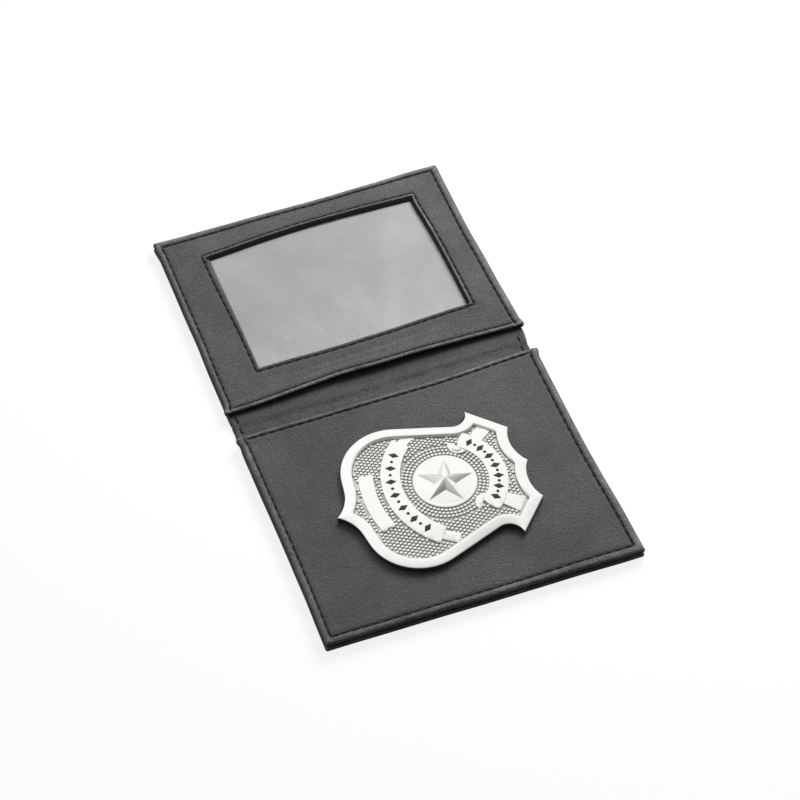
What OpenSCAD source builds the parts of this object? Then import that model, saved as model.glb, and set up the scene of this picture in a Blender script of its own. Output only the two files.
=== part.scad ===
// ID badge wallet: a flat leather bifold with a metal shield on one half and a card window on the other.
// It lies open on its cover. X runs across the wallet, +Y towards the window half, +Z up, and the origin
// is on the floor under the middle of the spine.

/* [Wallet] */
// Width across the wallet
wallet_w = 105; // [90:1:125]
// Length of one half, from its fold line to its free edge
half_l = 84.5; // [80:0.5:100]
// Length of the spine, between the two fold lines
spine_l = 7; // [6.4:0.1:12]
// Radius of the four outer corners
corner_r = 1.2; // [1:0.1:6]
// Thickness of the outer cover leather
cover_t = 1; // [0.8:0.1:1.6]
// Thickness of the stiffener board
board_t = 0.6; // [0.5:0.1:1.2]
// Thickness of the lining leather
lining_t = 0.5; // [0.45:0.05:1]
// Width of the cover edge that is turned over the board
turned_edge_w = 5.5; // [4.5:0.5:8]
// Distance that the layers over the cover keep from a fold line
fold_gap = 0.3; // [0.2:0.1:1]

/* [Pockets] */
// Thickness of the leather of the badge panel and the window frame
panel_t = 0.8; // [0.6:0.1:1.4]
// Width of the hem that lifts a pocket off the lining on three sides
hem_w = 7; // [5:0.5:7.5]
// Room inside the badge pocket, under its backing cloth
badge_pocket_h = 1; // [1:0.1:2]
// Thickness of the backing cloth glued behind the badge panel
backing_t = 0.3; // [0.2:0.05:0.6]
// Distance from the badge side's fold line to the mouth of the badge pocket
badge_mouth_gap = 0.3; // [0.3:0.1:3]
// Distance from the window side's fold line to the mouth of the card pocket
window_mouth_gap = 4.3; // [0.5:0.1:6]
// Radius of the corners at a pocket mouth
mouth_corner_r = 1.2; // [0.5:0.1:3]

/* [Seams] */
// Distance of the perimeter seam from the edge
seam_inset = 2.7; // [2.5:0.1:4]
// Distance of a mouth seam from the pocket mouth
mouth_seam_inset = 2; // [1.5:0.1:3]
// Distance from one stitch to the next
stitch_pitch = 3.3; // [2.5:0.1:5]
// Visible length of one stitch
stitch_l = 2.5; // [1.5:0.1:3]
// Width of the thread
thread_w = 0.55; // [0.4:0.05:0.7]
// Height of the thread above the floor of its groove
thread_h = 0.42; // [0.3:0.02:0.45]
// Width of the groove that a seam draws into the leather
groove_w = 1.1; // [0.9:0.05:1.5]
// Depth of that groove
groove_depth = 0.45; // [0.45:0.01:0.55]

/* [Window] */
// Width of the leather left at each side of the window, out to the wallet's edge
window_border_w = 15.5; // [13.5:0.5:20]
// Length of the window opening
window_l = 50.6; // [40:0.2:56]
// Distance from the free edge to the middle of the window
window_from_edge = 38.9; // [36:0.1:44]
// Radius of the window's corners
window_corner_r = 1.4; // [0.5:0.1:4]
// Distance from the window opening to the seam around it
window_seam_gap = 2.4; // [1.8:0.1:3]
// How far the clear pane reaches past that seam
pane_margin = 2.4; // [1.5:0.1:2.6]
// Thickness of the clear pane
pane_t = 0.3; // [0.2:0.05:0.6]

/* [Card] */
// Room between the card and the pocket's hem at each side
card_side_gap = 2.7; // [1:0.1:5]
// Length of the card
card_l = 53.98; // [50:0.01:58]
// Thickness of the card
card_t = 0.76; // [0.5:0.01:0.9]
// Corner radius of the card
card_corner_r = 3.18; // [1:0.01:5]
// Gap above and below the card in its pocket
card_gap = 0.05; // [0.03:0.01:0.2]
// How far the card rests beyond the middle of the window, away from the spine
card_rest = 1.1; // [0:0.1:1.2]

/* [Shield outline] */
// Distance from the fold line to the shield's centre line
shield_from_fold = 41; // [38:0.1:46]
// How far the middle of the star lies off the wallet's centre line
shield_offset = 3; // [-3:0.1:5]
// Height of the upper corner line, where its two sides would meet on the centre line
crown_peak = 41.3; // [40:0.1:43]
// Radius of the hollows in the top edge
crown_hollow_r = 13.5; // [12:0.1:16]
// Distance of a top hollow's centre from the centre line
crown_hollow_x = 7.2; // [6.5:0.1:8]
// Height of a top hollow's centre above the middle of the star
crown_hollow_y = 38.6; // [38:0.1:40]
// Radius of the notch under each ear
ear_notch_r = 4.5; // [3.5:0.1:5]
// Distance of a notch's centre from the centre line
ear_notch_x = 24.4; // [24:0.1:25.5]
// Height of a notch's centre above the middle of the star
ear_notch_y = 12.2; // [11.5:0.1:13]
// Radius of the round lower sides
lobe_r = 15.6; // [15:0.1:16.2]
// Distance of a round side's centre from the centre line
lobe_x = 11.4; // [11:0.1:12]
// Depth of a round side's centre below the middle of the star
lobe_y = 14.9; // [14.5:0.1:15.5]
// Radius of the hollows beside the bottom point
tip_hollow_r = 11.4; // [10.5:0.1:12]
// Distance of a bottom hollow's centre from the centre line
tip_hollow_x = 9.5; // [9:0.1:10]
// Depth of a bottom hollow's centre below the middle of the star
tip_hollow_y = 42.5; // [42:0.1:43.5]
// Depth of the bottom point below the middle of the star
tip_y = 36.3; // [35.5:0.1:37]

/* [Shield relief] */
// Width of the shield's raised rim
rim_w = 4.1; // [3.5:0.1:4.4]
// Height of the rim above the shield's back
rim_h = 2.6; // [2.2:0.1:3]
// Height of the beaded field above the shield's back
field_h = 1.3; // [1:0.1:1.6]
// Height of the banners above the shield's back
banner_h = 2.3; // [1.9:0.1:2.5]
// Height of the banners' folded tails above the shield's back
tail_h = 1.9; // [1.7:0.1:2.2]
// Radius of the centre disc
disc_r = 10.3; // [9:0.1:11]
// Height of the centre disc above the shield's back
disc_h = 1.9; // [1.7:0.1:2.2]
// Radius of the star's points
star_r = 8.9; // [6:0.1:9.4]
// Height of the star above the disc
star_h = 2.2; // [1:0.1:2.5]
// Inner radius of the upper banner
upper_banner_in_r = 14; // [13:0.1:15]
// Outer radius of the upper banner
upper_banner_out_r = 20.2; // [19.5:0.1:20.6]
// Radius of the curls at the upper banner's ends
curl_r = 1.6; // [1:0.1:2]
// Inner radius of the lower banner
lower_banner_in_r = 21.7; // [21.2:0.1:22.5]
// Outer radius of the lower banner
lower_banner_out_r = 28; // [27:0.1:28.2]
// Height of the lower banner's centre of curvature above the middle of the star
lower_banner_y = 8; // [7.5:0.1:8.5]
// Inner radius of the blank number panel
number_panel_in_r = 34; // [33.8:0.1:35]
// Outer radius of the blank number panel
number_panel_out_r = 39.6; // [38:0.1:39.8]
// Height of the number panel's centre of curvature above the middle of the star
number_panel_y = 12.8; // [12.5:0.1:13.2]
// Length of an enamelled lozenge, along the banner's width
lozenge_l = 3.4; // [2:0.1:4]
// Width of an enamelled lozenge, along the banner
lozenge_w = 1.7; // [1:0.1:2.2]
// Radius of an enamelled dot
enamel_dot_r = 0.5; // [0.3:0.05:0.7]
// Depth of the enamel in the banners
enamel_depth = 0.3; // [0.2:0.05:0.5]

/* [Shield posts] */
// Distance from the middle of the star up to the upper post
upper_post_y = 15; // [12:0.5:18]
// Distance from the middle of the star down to the lower post
lower_post_y = 20; // [16:0.5:24]
// Radius of a post
post_r = 1; // [0.8:0.1:1.5]
// Clearance between a post and the hole that it passes through
post_hole_gap = 0.15; // [0.1:0.05:0.3]
// Outer radius of a retaining nut
nut_r = 3.5; // [2.5:0.1:5]
// Height of a retaining nut
nut_h = 0.8; // [0.6:0.05:0.85]
// Clearance between a post and its nut
nut_gap = 0.05; // [0.03:0.01:0.1]
// Clearance between a post's end and the lining
post_end_gap = 0.1; // [0.05:0.05:0.2]

/* [Hidden] */
$fn = 64;

// One overrun serves every cut
cut = 0.5;

// Angles of the shield's relief, in degrees from its upward direction
upper_banner_half_angle = 53;
curl_angle = 57;
upper_tail_angles = [33, 46];
lower_banner_half_angle = 50.5;
lower_tail_angles = [50, 63];
number_panel_half_angle = 17;
lozenge_steps = [-3, -2, -1, 0, 1, 2, 3];
dot_steps = [-2.5, -1.5, -0.5, 0.5, 1.5, 2.5];
upper_motif_turn = 14;
lower_motif_turn = 12.5;

// Shares of a banner's width, of the rim and of the thread
curl_seat_share = 0.99;
tail_reach_share = 1.23;
lower_tail_in_share = 1.05;
lower_tail_out_share = 1.2;
star_notch_share = 0.382;
thread_shares = [[-0.5, 0], [0.5, 0], [0.5, 0.5], [0.25, 1], [-0.25, 1], [-0.5, 0.5]];
rim_step_shares = [[0, 0.46], [0.08, 0.62], [0.16, 0.76], [0.26, 0.9], [0.38, 1]];

// Levels of the layers above the floor
board_z = cover_t;
lining_z = board_z + board_t;
pocket_z = lining_z + lining_t;
backing_z = pocket_z + badge_pocket_h;
badge_panel_z = backing_z + backing_t;
badge_top_z = badge_panel_z + panel_t;
card_z = pocket_z + card_gap;
pane_z = card_z + card_t + card_gap;
frame_z = pane_z + pane_t;
frame_top_z = frame_z + panel_t;
spine_top_z = cover_t + lining_t;

// Places that the layers share, measured from a half's own fold line
board_w = wallet_w - 2 * turned_edge_w;
pocket_w = wallet_w - 2 * hem_w;
card_w = pocket_w - 2 * card_side_gap;
seam_x = wallet_w / 2 - seam_inset;
seam_end = half_l - seam_inset;
window_y = half_l - window_from_edge;
window_w = wallet_w - 2 * window_border_w;
window_seam_w = window_w + 2 * window_seam_gap;
window_seam_l = window_l + 2 * window_seam_gap;
pane_w = window_seam_w + 2 * pane_margin;
pane_l = window_seam_l + 2 * pane_margin;
post_hole_r = post_r + post_hole_gap;
post_ys = [upper_post_y, -lower_post_y];

// Places on the shield. A straight line joins each round lower side to the notch above it and to the
// hollow below it. It cuts a hair into both circles, because a kernel closes no solid on mere touching
tangent_bite = 0.03;
lobe = [lobe_x, -lobe_y];
ear_notch = [ear_notch_x, ear_notch_y];
tip_hollow = [tip_hollow_x, -tip_hollow_y];
side_turn = line_turn(ear_notch - lobe) - tangent_turn(ear_notch - lobe, lobe_r + ear_notch_r);
low_turn = line_turn(tip_hollow - lobe) + tangent_turn(tip_hollow - lobe, lobe_r + tip_hollow_r);
side_way = [cos(side_turn), sin(side_turn)];
low_way = [cos(low_turn), sin(low_turn)];
lower_motif_r = (lower_banner_in_r + lower_banner_out_r) / 2;
upper_motif_r = (upper_banner_in_r + upper_banner_out_r) / 2;

// A half is drawn with its fold line on Y = 0 and its free edge towards +Y
module on_badge_side() {
    translate([0, -spine_l / 2, 0]) mirror([0, 1, 0]) children();
}

module on_window_side() {
    translate([0, spine_l / 2, 0]) children();
}

// The shield lies across the wallet, so that its top points along +X
module on_shield(level) {
    translate([shield_offset, -spine_l / 2 - shield_from_fold, badge_top_z + level]) rotate(-90) children();
}

// A sheet from start to finish, with its two near and two far corners rounded
module sheet_2d(width, start, finish, near_r, far_r) {
    union() {
        translate([-width / 2, start + near_r]) square([width, finish - start - near_r - far_r]);
        translate([near_r - width / 2, start]) square([width - 2 * near_r, near_r]);
        translate([far_r - width / 2, finish - far_r]) square([width - 2 * far_r, far_r]);
        for (side = [-1, 1]) {
            translate([side * (width / 2 - near_r), start + near_r]) circle(near_r);
            translate([side * (width / 2 - far_r), finish - far_r]) circle(far_r);
        }
    }
}

// The outline of a layer of one half, square at the fold and rounded at the free edge
module half_2d() {
    translate([-wallet_w / 2, 0]) square([wallet_w, half_l - corner_r]);
    translate([corner_r - wallet_w / 2, 0]) square([wallet_w - 2 * corner_r, half_l]);
    for (side = [-1, 1])
        translate([side * (wallet_w / 2 - corner_r), half_l - corner_r]) circle(corner_r);
}

// The inside of a strip that runs round three edges, which stays open at the fold
module inside_strip_2d(strip_w) {
    translate([strip_w - wallet_w / 2, -cut]) square([wallet_w - 2 * strip_w, half_l - strip_w + cut]);
}

module plate(level, thickness) {
    translate([0, 0, level]) linear_extrude(height = thickness) children();
}

// Seams: a row runs from a start point for a length, turned from +X
function stitch_count(length) = max(1, round(length / stitch_pitch));

module stitch_row(start, turn, length) {
    count = stitch_count(length);
    pitch = length / count;
    shown = min(stitch_l, pitch * stitch_l / stitch_pitch);
    for (i = [0 : count - 1])
        translate(start) rotate(turn) translate([(i + 0.5) * pitch - shown / 2, 0, 0])
            rotate([90, 0, 90]) linear_extrude(height = shown)
                polygon([for (p = thread_shares) [p[0] * thread_w, p[1] * thread_h]]);
}

module groove_row(start, turn, length) {
    translate(start) rotate(turn) translate([-groove_w / 2, -groove_w / 2, 0])
        cube([length + groove_w, groove_w, groove_depth + cut]);
}

// The perimeter seam of one half, as rows from its fold line round the free edge
module perimeter_rows(first, level) {
    for (side = [-1, 1])
        stitch_row([side * seam_x, first, level], 90, seam_end - first);
    stitch_row([-seam_x, seam_end, level], 0, 2 * seam_x);
}

module perimeter_grooves(first, level) {
    for (side = [-1, 1])
        groove_row([side * seam_x, first, level], 90, seam_end - first);
    groove_row([-seam_x, seam_end, level], 0, 2 * seam_x);
}

// The same seam on the underside, where threads lie in grooves cut up into the cover
module under_side() {
    translate([0, 0, groove_depth]) mirror([0, 0, 1]) children();
}

module cover_half() {
    difference() {
        union() {
            plate(0, cover_t) half_2d();
            plate(cover_t, board_t) difference() {
                half_2d();
                inside_strip_2d(turned_edge_w);
            }
        }
        under_side() perimeter_grooves(-groove_w, 0);
    }
}

module board_half() {
    plate(board_z, board_t)
        translate([-board_w / 2, fold_gap])
            square([board_w, half_l - turned_edge_w - fold_gap]);
}

module cover_badge_side() {
    color("#2b2b2d") on_badge_side() cover_half();
}

module cover_window_side() {
    color("#2b2b2d") on_window_side() cover_half();
}

module cover_spine() {
    color("#2b2b2d") difference() {
        plate(0, cover_t)
            translate([-wallet_w / 2, -spine_l / 2]) square([wallet_w, spine_l]);
        for (side = [-1, 1])
            under_side() groove_row([side * seam_x, -spine_l / 2, 0], 90, spine_l);
    }
}

module board_badge_side() {
    color("#b39a6b") on_badge_side() board_half();
}

module board_window_side() {
    color("#b39a6b") on_window_side() board_half();
}

module lining_badge_side() {
    color("#38383b") on_badge_side() plate(lining_z, lining_t) difference() {
        half_2d();
        translate([-wallet_w, -cut]) square([2 * wallet_w, fold_gap + cut]);
    }
}

// The lining shows between the fold line and the card pocket, so the seam runs over it there
module lining_window_side() {
    color("#38383b") on_window_side() difference() {
        plate(lining_z, lining_t) difference() {
            half_2d();
            translate([-wallet_w, -cut]) square([2 * wallet_w, fold_gap + cut]);
        }
        for (side = [-1, 1])
            translate([side * seam_x - groove_w / 2, -cut, pocket_z - lining_t / 2])
                cube([groove_w, window_mouth_gap + cut, lining_t]);
    }
}

module lining_spine() {
    color("#38383b") difference() {
        plate(cover_t, lining_t)
            translate([-wallet_w / 2, -spine_l / 2]) square([wallet_w, spine_l]);
        for (side = [-1, 1])
            translate([side * seam_x - groove_w / 2, -spine_l / 2 - cut, spine_top_z - lining_t / 2])
                cube([groove_w, spine_l + 2 * cut, lining_t]);
    }
}

// A pocket panel: its leather, and the hem round three edges that lifts it off the lining
module pocket_panel(mouth_gap, level, top) {
    difference() {
        union() {
            plate(level, panel_t) sheet_2d(wallet_w, mouth_gap, half_l, mouth_corner_r, corner_r);
            plate(pocket_z, level - pocket_z) difference() {
                sheet_2d(wallet_w, mouth_gap, half_l, mouth_corner_r, corner_r);
                inside_strip_2d(hem_w);
            }
        }
        perimeter_grooves(mouth_gap, top - groove_depth);
        groove_row([-seam_x, mouth_gap + mouth_seam_inset, top - groove_depth], 0, 2 * seam_x);
    }
}

module badge_panel() {
    color("#3c3c40") difference() {
        on_badge_side() pocket_panel(badge_mouth_gap, badge_panel_z, badge_top_z);
        post_holes();
    }
}

module badge_panel_backing() {
    color("#4a4a4d") difference() {
        on_badge_side() plate(backing_z, backing_t)
            translate([-pocket_w / 2, badge_mouth_gap])
                square([pocket_w, half_l - hem_w - badge_mouth_gap]);
        post_holes();
    }
}

module post_holes() {
    for (y = post_ys)
        on_shield(-panel_t - backing_t - cut) translate([0, y, 0])
            cylinder(h = panel_t + backing_t + 2 * cut, r = post_hole_r);
}

module window_frame() {
    color("#3c3c40") on_window_side() difference() {
        pocket_panel(window_mouth_gap, frame_z, frame_top_z);
        plate(frame_z - cut, panel_t + 2 * cut) window_2d(window_w, window_l, window_corner_r);
        window_seam_grooves();
    }
}

module window_2d(width, length, corner) {
    sheet_2d(width, window_y - length / 2, window_y + length / 2, corner, corner);
}

module window_seam_grooves() {
    for (side = [-1, 1]) {
        groove_row([side * window_seam_w / 2, window_y - window_seam_l / 2, frame_top_z - groove_depth],
            90, window_seam_l);
        groove_row([-window_seam_w / 2, window_y + side * window_seam_l / 2, frame_top_z - groove_depth],
            0, window_seam_w);
    }
}

module window_pane() {
    color([0.82, 0.85, 0.88, 0.45]) on_window_side()
        plate(pane_z, pane_t) window_2d(pane_w, pane_l, window_corner_r);
}

module id_card() {
    color("#d9dadd") on_window_side()
        plate(card_z, card_t) translate([0, card_rest]) window_2d(card_w, card_l, card_corner_r);
}

module badge_side_stitches() {
    color("#161617") on_badge_side() {
        perimeter_rows(badge_mouth_gap + groove_w, badge_top_z - groove_depth);
        under_side() perimeter_rows(0, 0);
    }
}

module badge_mouth_stitches() {
    color("#161617") on_badge_side()
        stitch_row([groove_w - seam_x, badge_mouth_gap + mouth_seam_inset, badge_top_z - groove_depth],
            0, 2 * (seam_x - groove_w));
}

module spine_stitches() {
    color("#161617") for (side = [-1, 1]) {
        stitch_row([side * seam_x, -spine_l / 2, spine_top_z - lining_t / 2], 90, spine_l);
        under_side() stitch_row([side * seam_x, -spine_l / 2, 0], 90, spine_l);
    }
}

module window_side_stitches() {
    color("#161617") on_window_side() {
        perimeter_rows(window_mouth_gap + groove_w, frame_top_z - groove_depth);
        under_side() perimeter_rows(0, 0);
        for (side = [-1, 1])
            stitch_row([side * seam_x, fold_gap, pocket_z - lining_t / 2], 90,
                window_mouth_gap - fold_gap);
    }
}

module window_opening_stitches() {
    color("#161617") on_window_side() for (side = [-1, 1]) {
        stitch_row([side * window_seam_w / 2, window_y - window_seam_l / 2, frame_top_z - groove_depth],
            90, window_seam_l);
        stitch_row([-window_seam_w / 2, window_y + side * window_seam_l / 2, frame_top_z - groove_depth],
            0, window_seam_w);
    }
}

module card_mouth_stitches() {
    color("#161617") on_window_side()
        stitch_row([groove_w - seam_x, window_mouth_gap + mouth_seam_inset, frame_top_z - groove_depth],
            0, 2 * (seam_x - groove_w));
}

// The angle of the line between two circles' middles, and how far the line that joins them turns from it
function line_turn(reach) = atan2(reach[1], reach[0]);
function tangent_turn(reach, radii) = acos(min(1, (radii - 2 * tangent_bite) / norm(reach)));

// The shield's outline, drawn in from its edge by an inset. X runs across it and Y up it
module shield_2d(inset) {
    side_r = lobe_r - inset;
    notch_r = ear_notch_r + inset;
    hollow_r = tip_hollow_r + inset;
    corner_sum = crown_peak - inset * sqrt(2);
    ear_y = ear_notch_y + ear_notch_r;
    points = [
        [0, -tip_y], tip_hollow - (hollow_r - tangent_bite) * low_way, lobe + (side_r - tangent_bite) * low_way,
        lobe, lobe + (side_r - tangent_bite) * side_way, ear_notch - (notch_r - tangent_bite) * side_way,
        [corner_sum - ear_y, ear_y], [0, corner_sum],
    ];
    difference() {
        union() {
            polygon(concat(points, [for (i = [len(points) - 2 : -1 : 1]) [-points[i][0], points[i][1]]]));
            for (side = [0, 1]) mirror([side, 0]) translate(lobe) circle(side_r);
        }
        for (side = [0, 1]) mirror([side, 0]) {
            translate([crown_hollow_x, crown_hollow_y]) circle(crown_hollow_r + inset);
            translate(ear_notch) circle(notch_r);
            translate(tip_hollow) circle(hollow_r);
        }
    }
}

// A ring sector between two angles, measured clockwise from +Y
module arc_band_2d(in_r, out_r, from, to) {
    steps = [0, 1 / 3, 2 / 3, 1];
    intersection() {
        difference() {
            circle(out_r);
            circle(in_r);
        }
        polygon(concat([[0, 0]],
            [for (s = steps) let (a = from + (to - from) * s) [2 * out_r * sin(a), 2 * out_r * cos(a)]]));
    }
}

// The same band hanging below its centre of curvature
module low_band_2d(centre_y, in_r, out_r, from, to) {
    translate([0, centre_y]) mirror([0, 1]) arc_band_2d(in_r, out_r, from, to);
}

module banners_2d() {
    arc_band_2d(upper_banner_in_r, upper_banner_out_r, -upper_banner_half_angle, upper_banner_half_angle);
    for (side = [-1, 1])
        rotate(side * curl_angle) translate([0, upper_banner_in_r * curl_seat_share]) circle(curl_r);
    low_band_2d(lower_banner_y, lower_banner_in_r, lower_banner_out_r,
        -lower_banner_half_angle, lower_banner_half_angle);
    low_band_2d(number_panel_y, number_panel_in_r, number_panel_out_r,
        -number_panel_half_angle, number_panel_half_angle);
}

module tails_2d() {
    for (side = [0, 1]) mirror([side, 0]) {
        arc_band_2d(upper_banner_out_r - curl_r, upper_banner_out_r * tail_reach_share,
            upper_tail_angles[0], upper_tail_angles[1]);
        low_band_2d(lower_banner_y, lower_banner_in_r * lower_tail_in_share,
            lower_banner_in_r * lower_tail_out_share, lower_tail_angles[0], lower_tail_angles[1]);
    }
}

module enamel_2d() {
    for (i = lozenge_steps) {
        rotate(i * upper_motif_turn) translate([0, upper_motif_r]) lozenge_2d();
        translate([0, lower_banner_y]) rotate(i * lower_motif_turn) translate([0, -lower_motif_r]) lozenge_2d();
    }
    for (i = dot_steps) {
        rotate(i * upper_motif_turn) translate([0, upper_motif_r]) circle(enamel_dot_r);
        translate([0, lower_banner_y]) rotate(i * lower_motif_turn) translate([0, -lower_motif_r])
            circle(enamel_dot_r);
    }
}

module lozenge_2d() {
    polygon([[0, -lozenge_l / 2], [lozenge_w / 2, 0], [0, lozenge_l / 2], [-lozenge_w / 2, 0]]);
}

module shield() {
    color("#d8d9dc") on_shield(0) difference() {
        union() {
            difference() {
                union() for (s = rim_step_shares)
                    plate(0, rim_h * s[1]) shield_2d(rim_w * s[0]);
                plate(field_h, rim_h) shield_2d(rim_w);
            }
            plate(field_h, banner_h - field_h) banners_2d();
            plate(field_h, tail_h - field_h) intersection() {
                tails_2d();
                shield_2d(rim_w);
            }
        }
        plate(banner_h - enamel_depth, enamel_depth + cut) enamel_2d();
    }
}

module banner_enamel() {
    color("#141416") on_shield(banner_h - enamel_depth) plate(0, enamel_depth) enamel_2d();
}

module centre_disc() {
    color("#e2e3e6") on_shield(field_h) cylinder(h = disc_h - field_h, r = disc_r);
}

module star() {
    rim = [for (i = [0 : 9])
        let (r = i % 2 == 0 ? star_r : star_r * star_notch_share) [r * sin(i * 36), r * cos(i * 36), 0]];
    color("#e2e3e6") on_shield(disc_h)
        polyhedron(
            points = concat(rim, [[0, 0, star_h], [0, 0, 0]]),
            faces = [for (i = [0 : 9]) each [[i, (i + 1) % 10, 10], [(i + 1) % 10, i, 11]]]
        );
}

module shield_posts() {
    color("#b9bbbf") for (y = post_ys)
        on_shield(-panel_t - backing_t - badge_pocket_h + post_end_gap) translate([0, y, 0])
            cylinder(h = panel_t + backing_t + badge_pocket_h - post_end_gap, r = post_r);
}

module post_nuts() {
    color("#c9b37a") for (y = post_ys)
        on_shield(-panel_t - backing_t - nut_h) translate([0, y, 0]) difference() {
            cylinder(h = nut_h, r = nut_r);
            translate([0, 0, -cut]) cylinder(h = nut_h + 2 * cut, r = post_r + nut_gap);
        }
}

cover_badge_side();
board_badge_side();
lining_badge_side();
badge_panel();
badge_panel_backing();
shield();
centre_disc();
star();
banner_enamel();
shield_posts();
post_nuts();
badge_side_stitches();
badge_mouth_stitches();
cover_spine();
lining_spine();
spine_stitches();
cover_window_side();
board_window_side();
lining_window_side();
window_frame();
window_pane();
window_side_stitches();
window_opening_stitches();
card_mouth_stitches();
id_card();
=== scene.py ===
"""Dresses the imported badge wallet: soft leather, sewn seams, a clear window and a plated shield."""

import math
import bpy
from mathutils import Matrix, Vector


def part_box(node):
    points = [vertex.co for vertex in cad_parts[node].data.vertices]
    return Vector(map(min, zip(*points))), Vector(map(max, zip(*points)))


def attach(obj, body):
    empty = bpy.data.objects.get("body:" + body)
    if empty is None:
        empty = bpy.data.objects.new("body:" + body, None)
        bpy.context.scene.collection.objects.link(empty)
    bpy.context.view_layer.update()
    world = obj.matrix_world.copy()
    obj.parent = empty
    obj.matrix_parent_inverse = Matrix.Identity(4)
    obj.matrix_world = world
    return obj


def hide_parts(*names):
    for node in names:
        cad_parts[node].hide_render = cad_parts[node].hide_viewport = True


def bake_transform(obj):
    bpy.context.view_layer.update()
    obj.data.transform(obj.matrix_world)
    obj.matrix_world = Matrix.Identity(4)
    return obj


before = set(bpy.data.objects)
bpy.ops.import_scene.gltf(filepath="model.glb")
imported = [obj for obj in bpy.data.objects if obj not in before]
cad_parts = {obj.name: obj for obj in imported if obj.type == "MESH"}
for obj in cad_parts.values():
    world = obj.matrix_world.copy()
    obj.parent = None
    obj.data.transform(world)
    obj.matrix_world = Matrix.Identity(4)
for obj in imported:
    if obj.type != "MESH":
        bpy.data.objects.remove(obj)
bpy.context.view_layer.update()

from types import SimpleNamespace

import bmesh
import bpy
import numpy as np
from bpy.props import FloatProperty, FloatVectorProperty, PointerProperty
from mathutils import Vector
from mathutils.geometry import tessellate_polygon

bl_info = {
    "name": "Badge Wallet",
    "version": (1, 0, 0),
    "blender": (4, 5, 0),
    "location": "View3D > Sidebar > Badge Wallet",
    "description": "Builds the leather, seams, window and shield of a badge wallet round its packed frame",
    "category": "Add Mesh",
}

MM = 0.001


def box_mm(node):
    """Lowest and highest corner of a CAD node, in millimetres."""
    low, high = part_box(node)
    return [value / MM for value in low], [value / MM for value in high]


COVER_LOW, COVER_HIGH = box_mm("cover_badge_side")
SPINE_COVER_TOP = box_mm("cover_spine")[1][2]
SPINE_LINING_TOP = box_mm("lining_spine")[1][2]
LINING_LOW, LINING_HIGH = box_mm("lining_badge_side")
PANEL_LOW, PANEL_HIGH = box_mm("badge_panel")
BACKING_LOW, BACKING_HIGH = box_mm("badge_panel_backing")
FRAME_LOW, FRAME_HIGH = box_mm("window_frame")
PANE_LOW, PANE_HIGH = box_mm("window_pane")
SHIELD_LOW, SHIELD_HIGH = box_mm("shield")
DISC_LOW, DISC_HIGH = box_mm("centre_disc")
STAR_LOW, STAR_HIGH = box_mm("star")
ENAMEL_FOOT = box_mm("banner_enamel")[0][2]
POSTS_LOW, POSTS_HIGH = box_mm("shield_posts")
NUTS_LOW, NUTS_HIGH = box_mm("post_nuts")

# Along the wallet, t is the distance from the middle of the spine, on either side of it
HALF_W = COVER_HIGH[0]
END_T = -COVER_LOW[1]
FOLD_T = -COVER_HIGH[1]
BADGE_MOUTH_T = -PANEL_HIGH[1]
WINDOW_MOUTH_T = FRAME_LOW[1]
STAR_X = (DISC_LOW[0] + DISC_HIGH[0]) / 2
STAR_Y = (DISC_LOW[1] + DISC_HIGH[1]) / 2
DISC_R = (DISC_HIGH[0] - DISC_LOW[0]) / 2
POST_R = (POSTS_HIGH[1] - POSTS_LOW[1]) / 2
POST_XS = (POSTS_LOW[0] + POST_R, POSTS_HIGH[0] - POST_R)
SHIELD_Z = SHIELD_LOW[2]
WINDOW_SIDE = 1
BADGE_SIDE = -1

# How far apart the grid lines of a sheet lie, and how far in from its edge it is rolled
PANEL_STEP = 0.85
FRAME_ROLL = 1.0
PANEL_ROLL = 1.05
MOUTH_ROLL = 0.55
COVER_ROLL = 0.8
LINING_ROLL = 0.25
LINING_INSET = 0.6
BAND_END_T = 10
BACKING_STEP = 2.2
FILM_STEP = 1.2
FILM_T = 0.2


def millimetres(name, description, default, low, high):
    """A size that a user can change, given in millimetres."""
    return FloatProperty(name=name, description=description, default=default * MM, min=low * MM,
                         max=high * MM, unit="LENGTH")


def plain(name, description, default, low, high):
    """A plain number that a user can change."""
    return FloatProperty(name=name, description=description, default=default, min=low, max=high)


def tint(name, description, default):
    return FloatVectorProperty(name=name, description=description, default=default, min=0.0, max=1.0,
                               subtype="COLOR")


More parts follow.
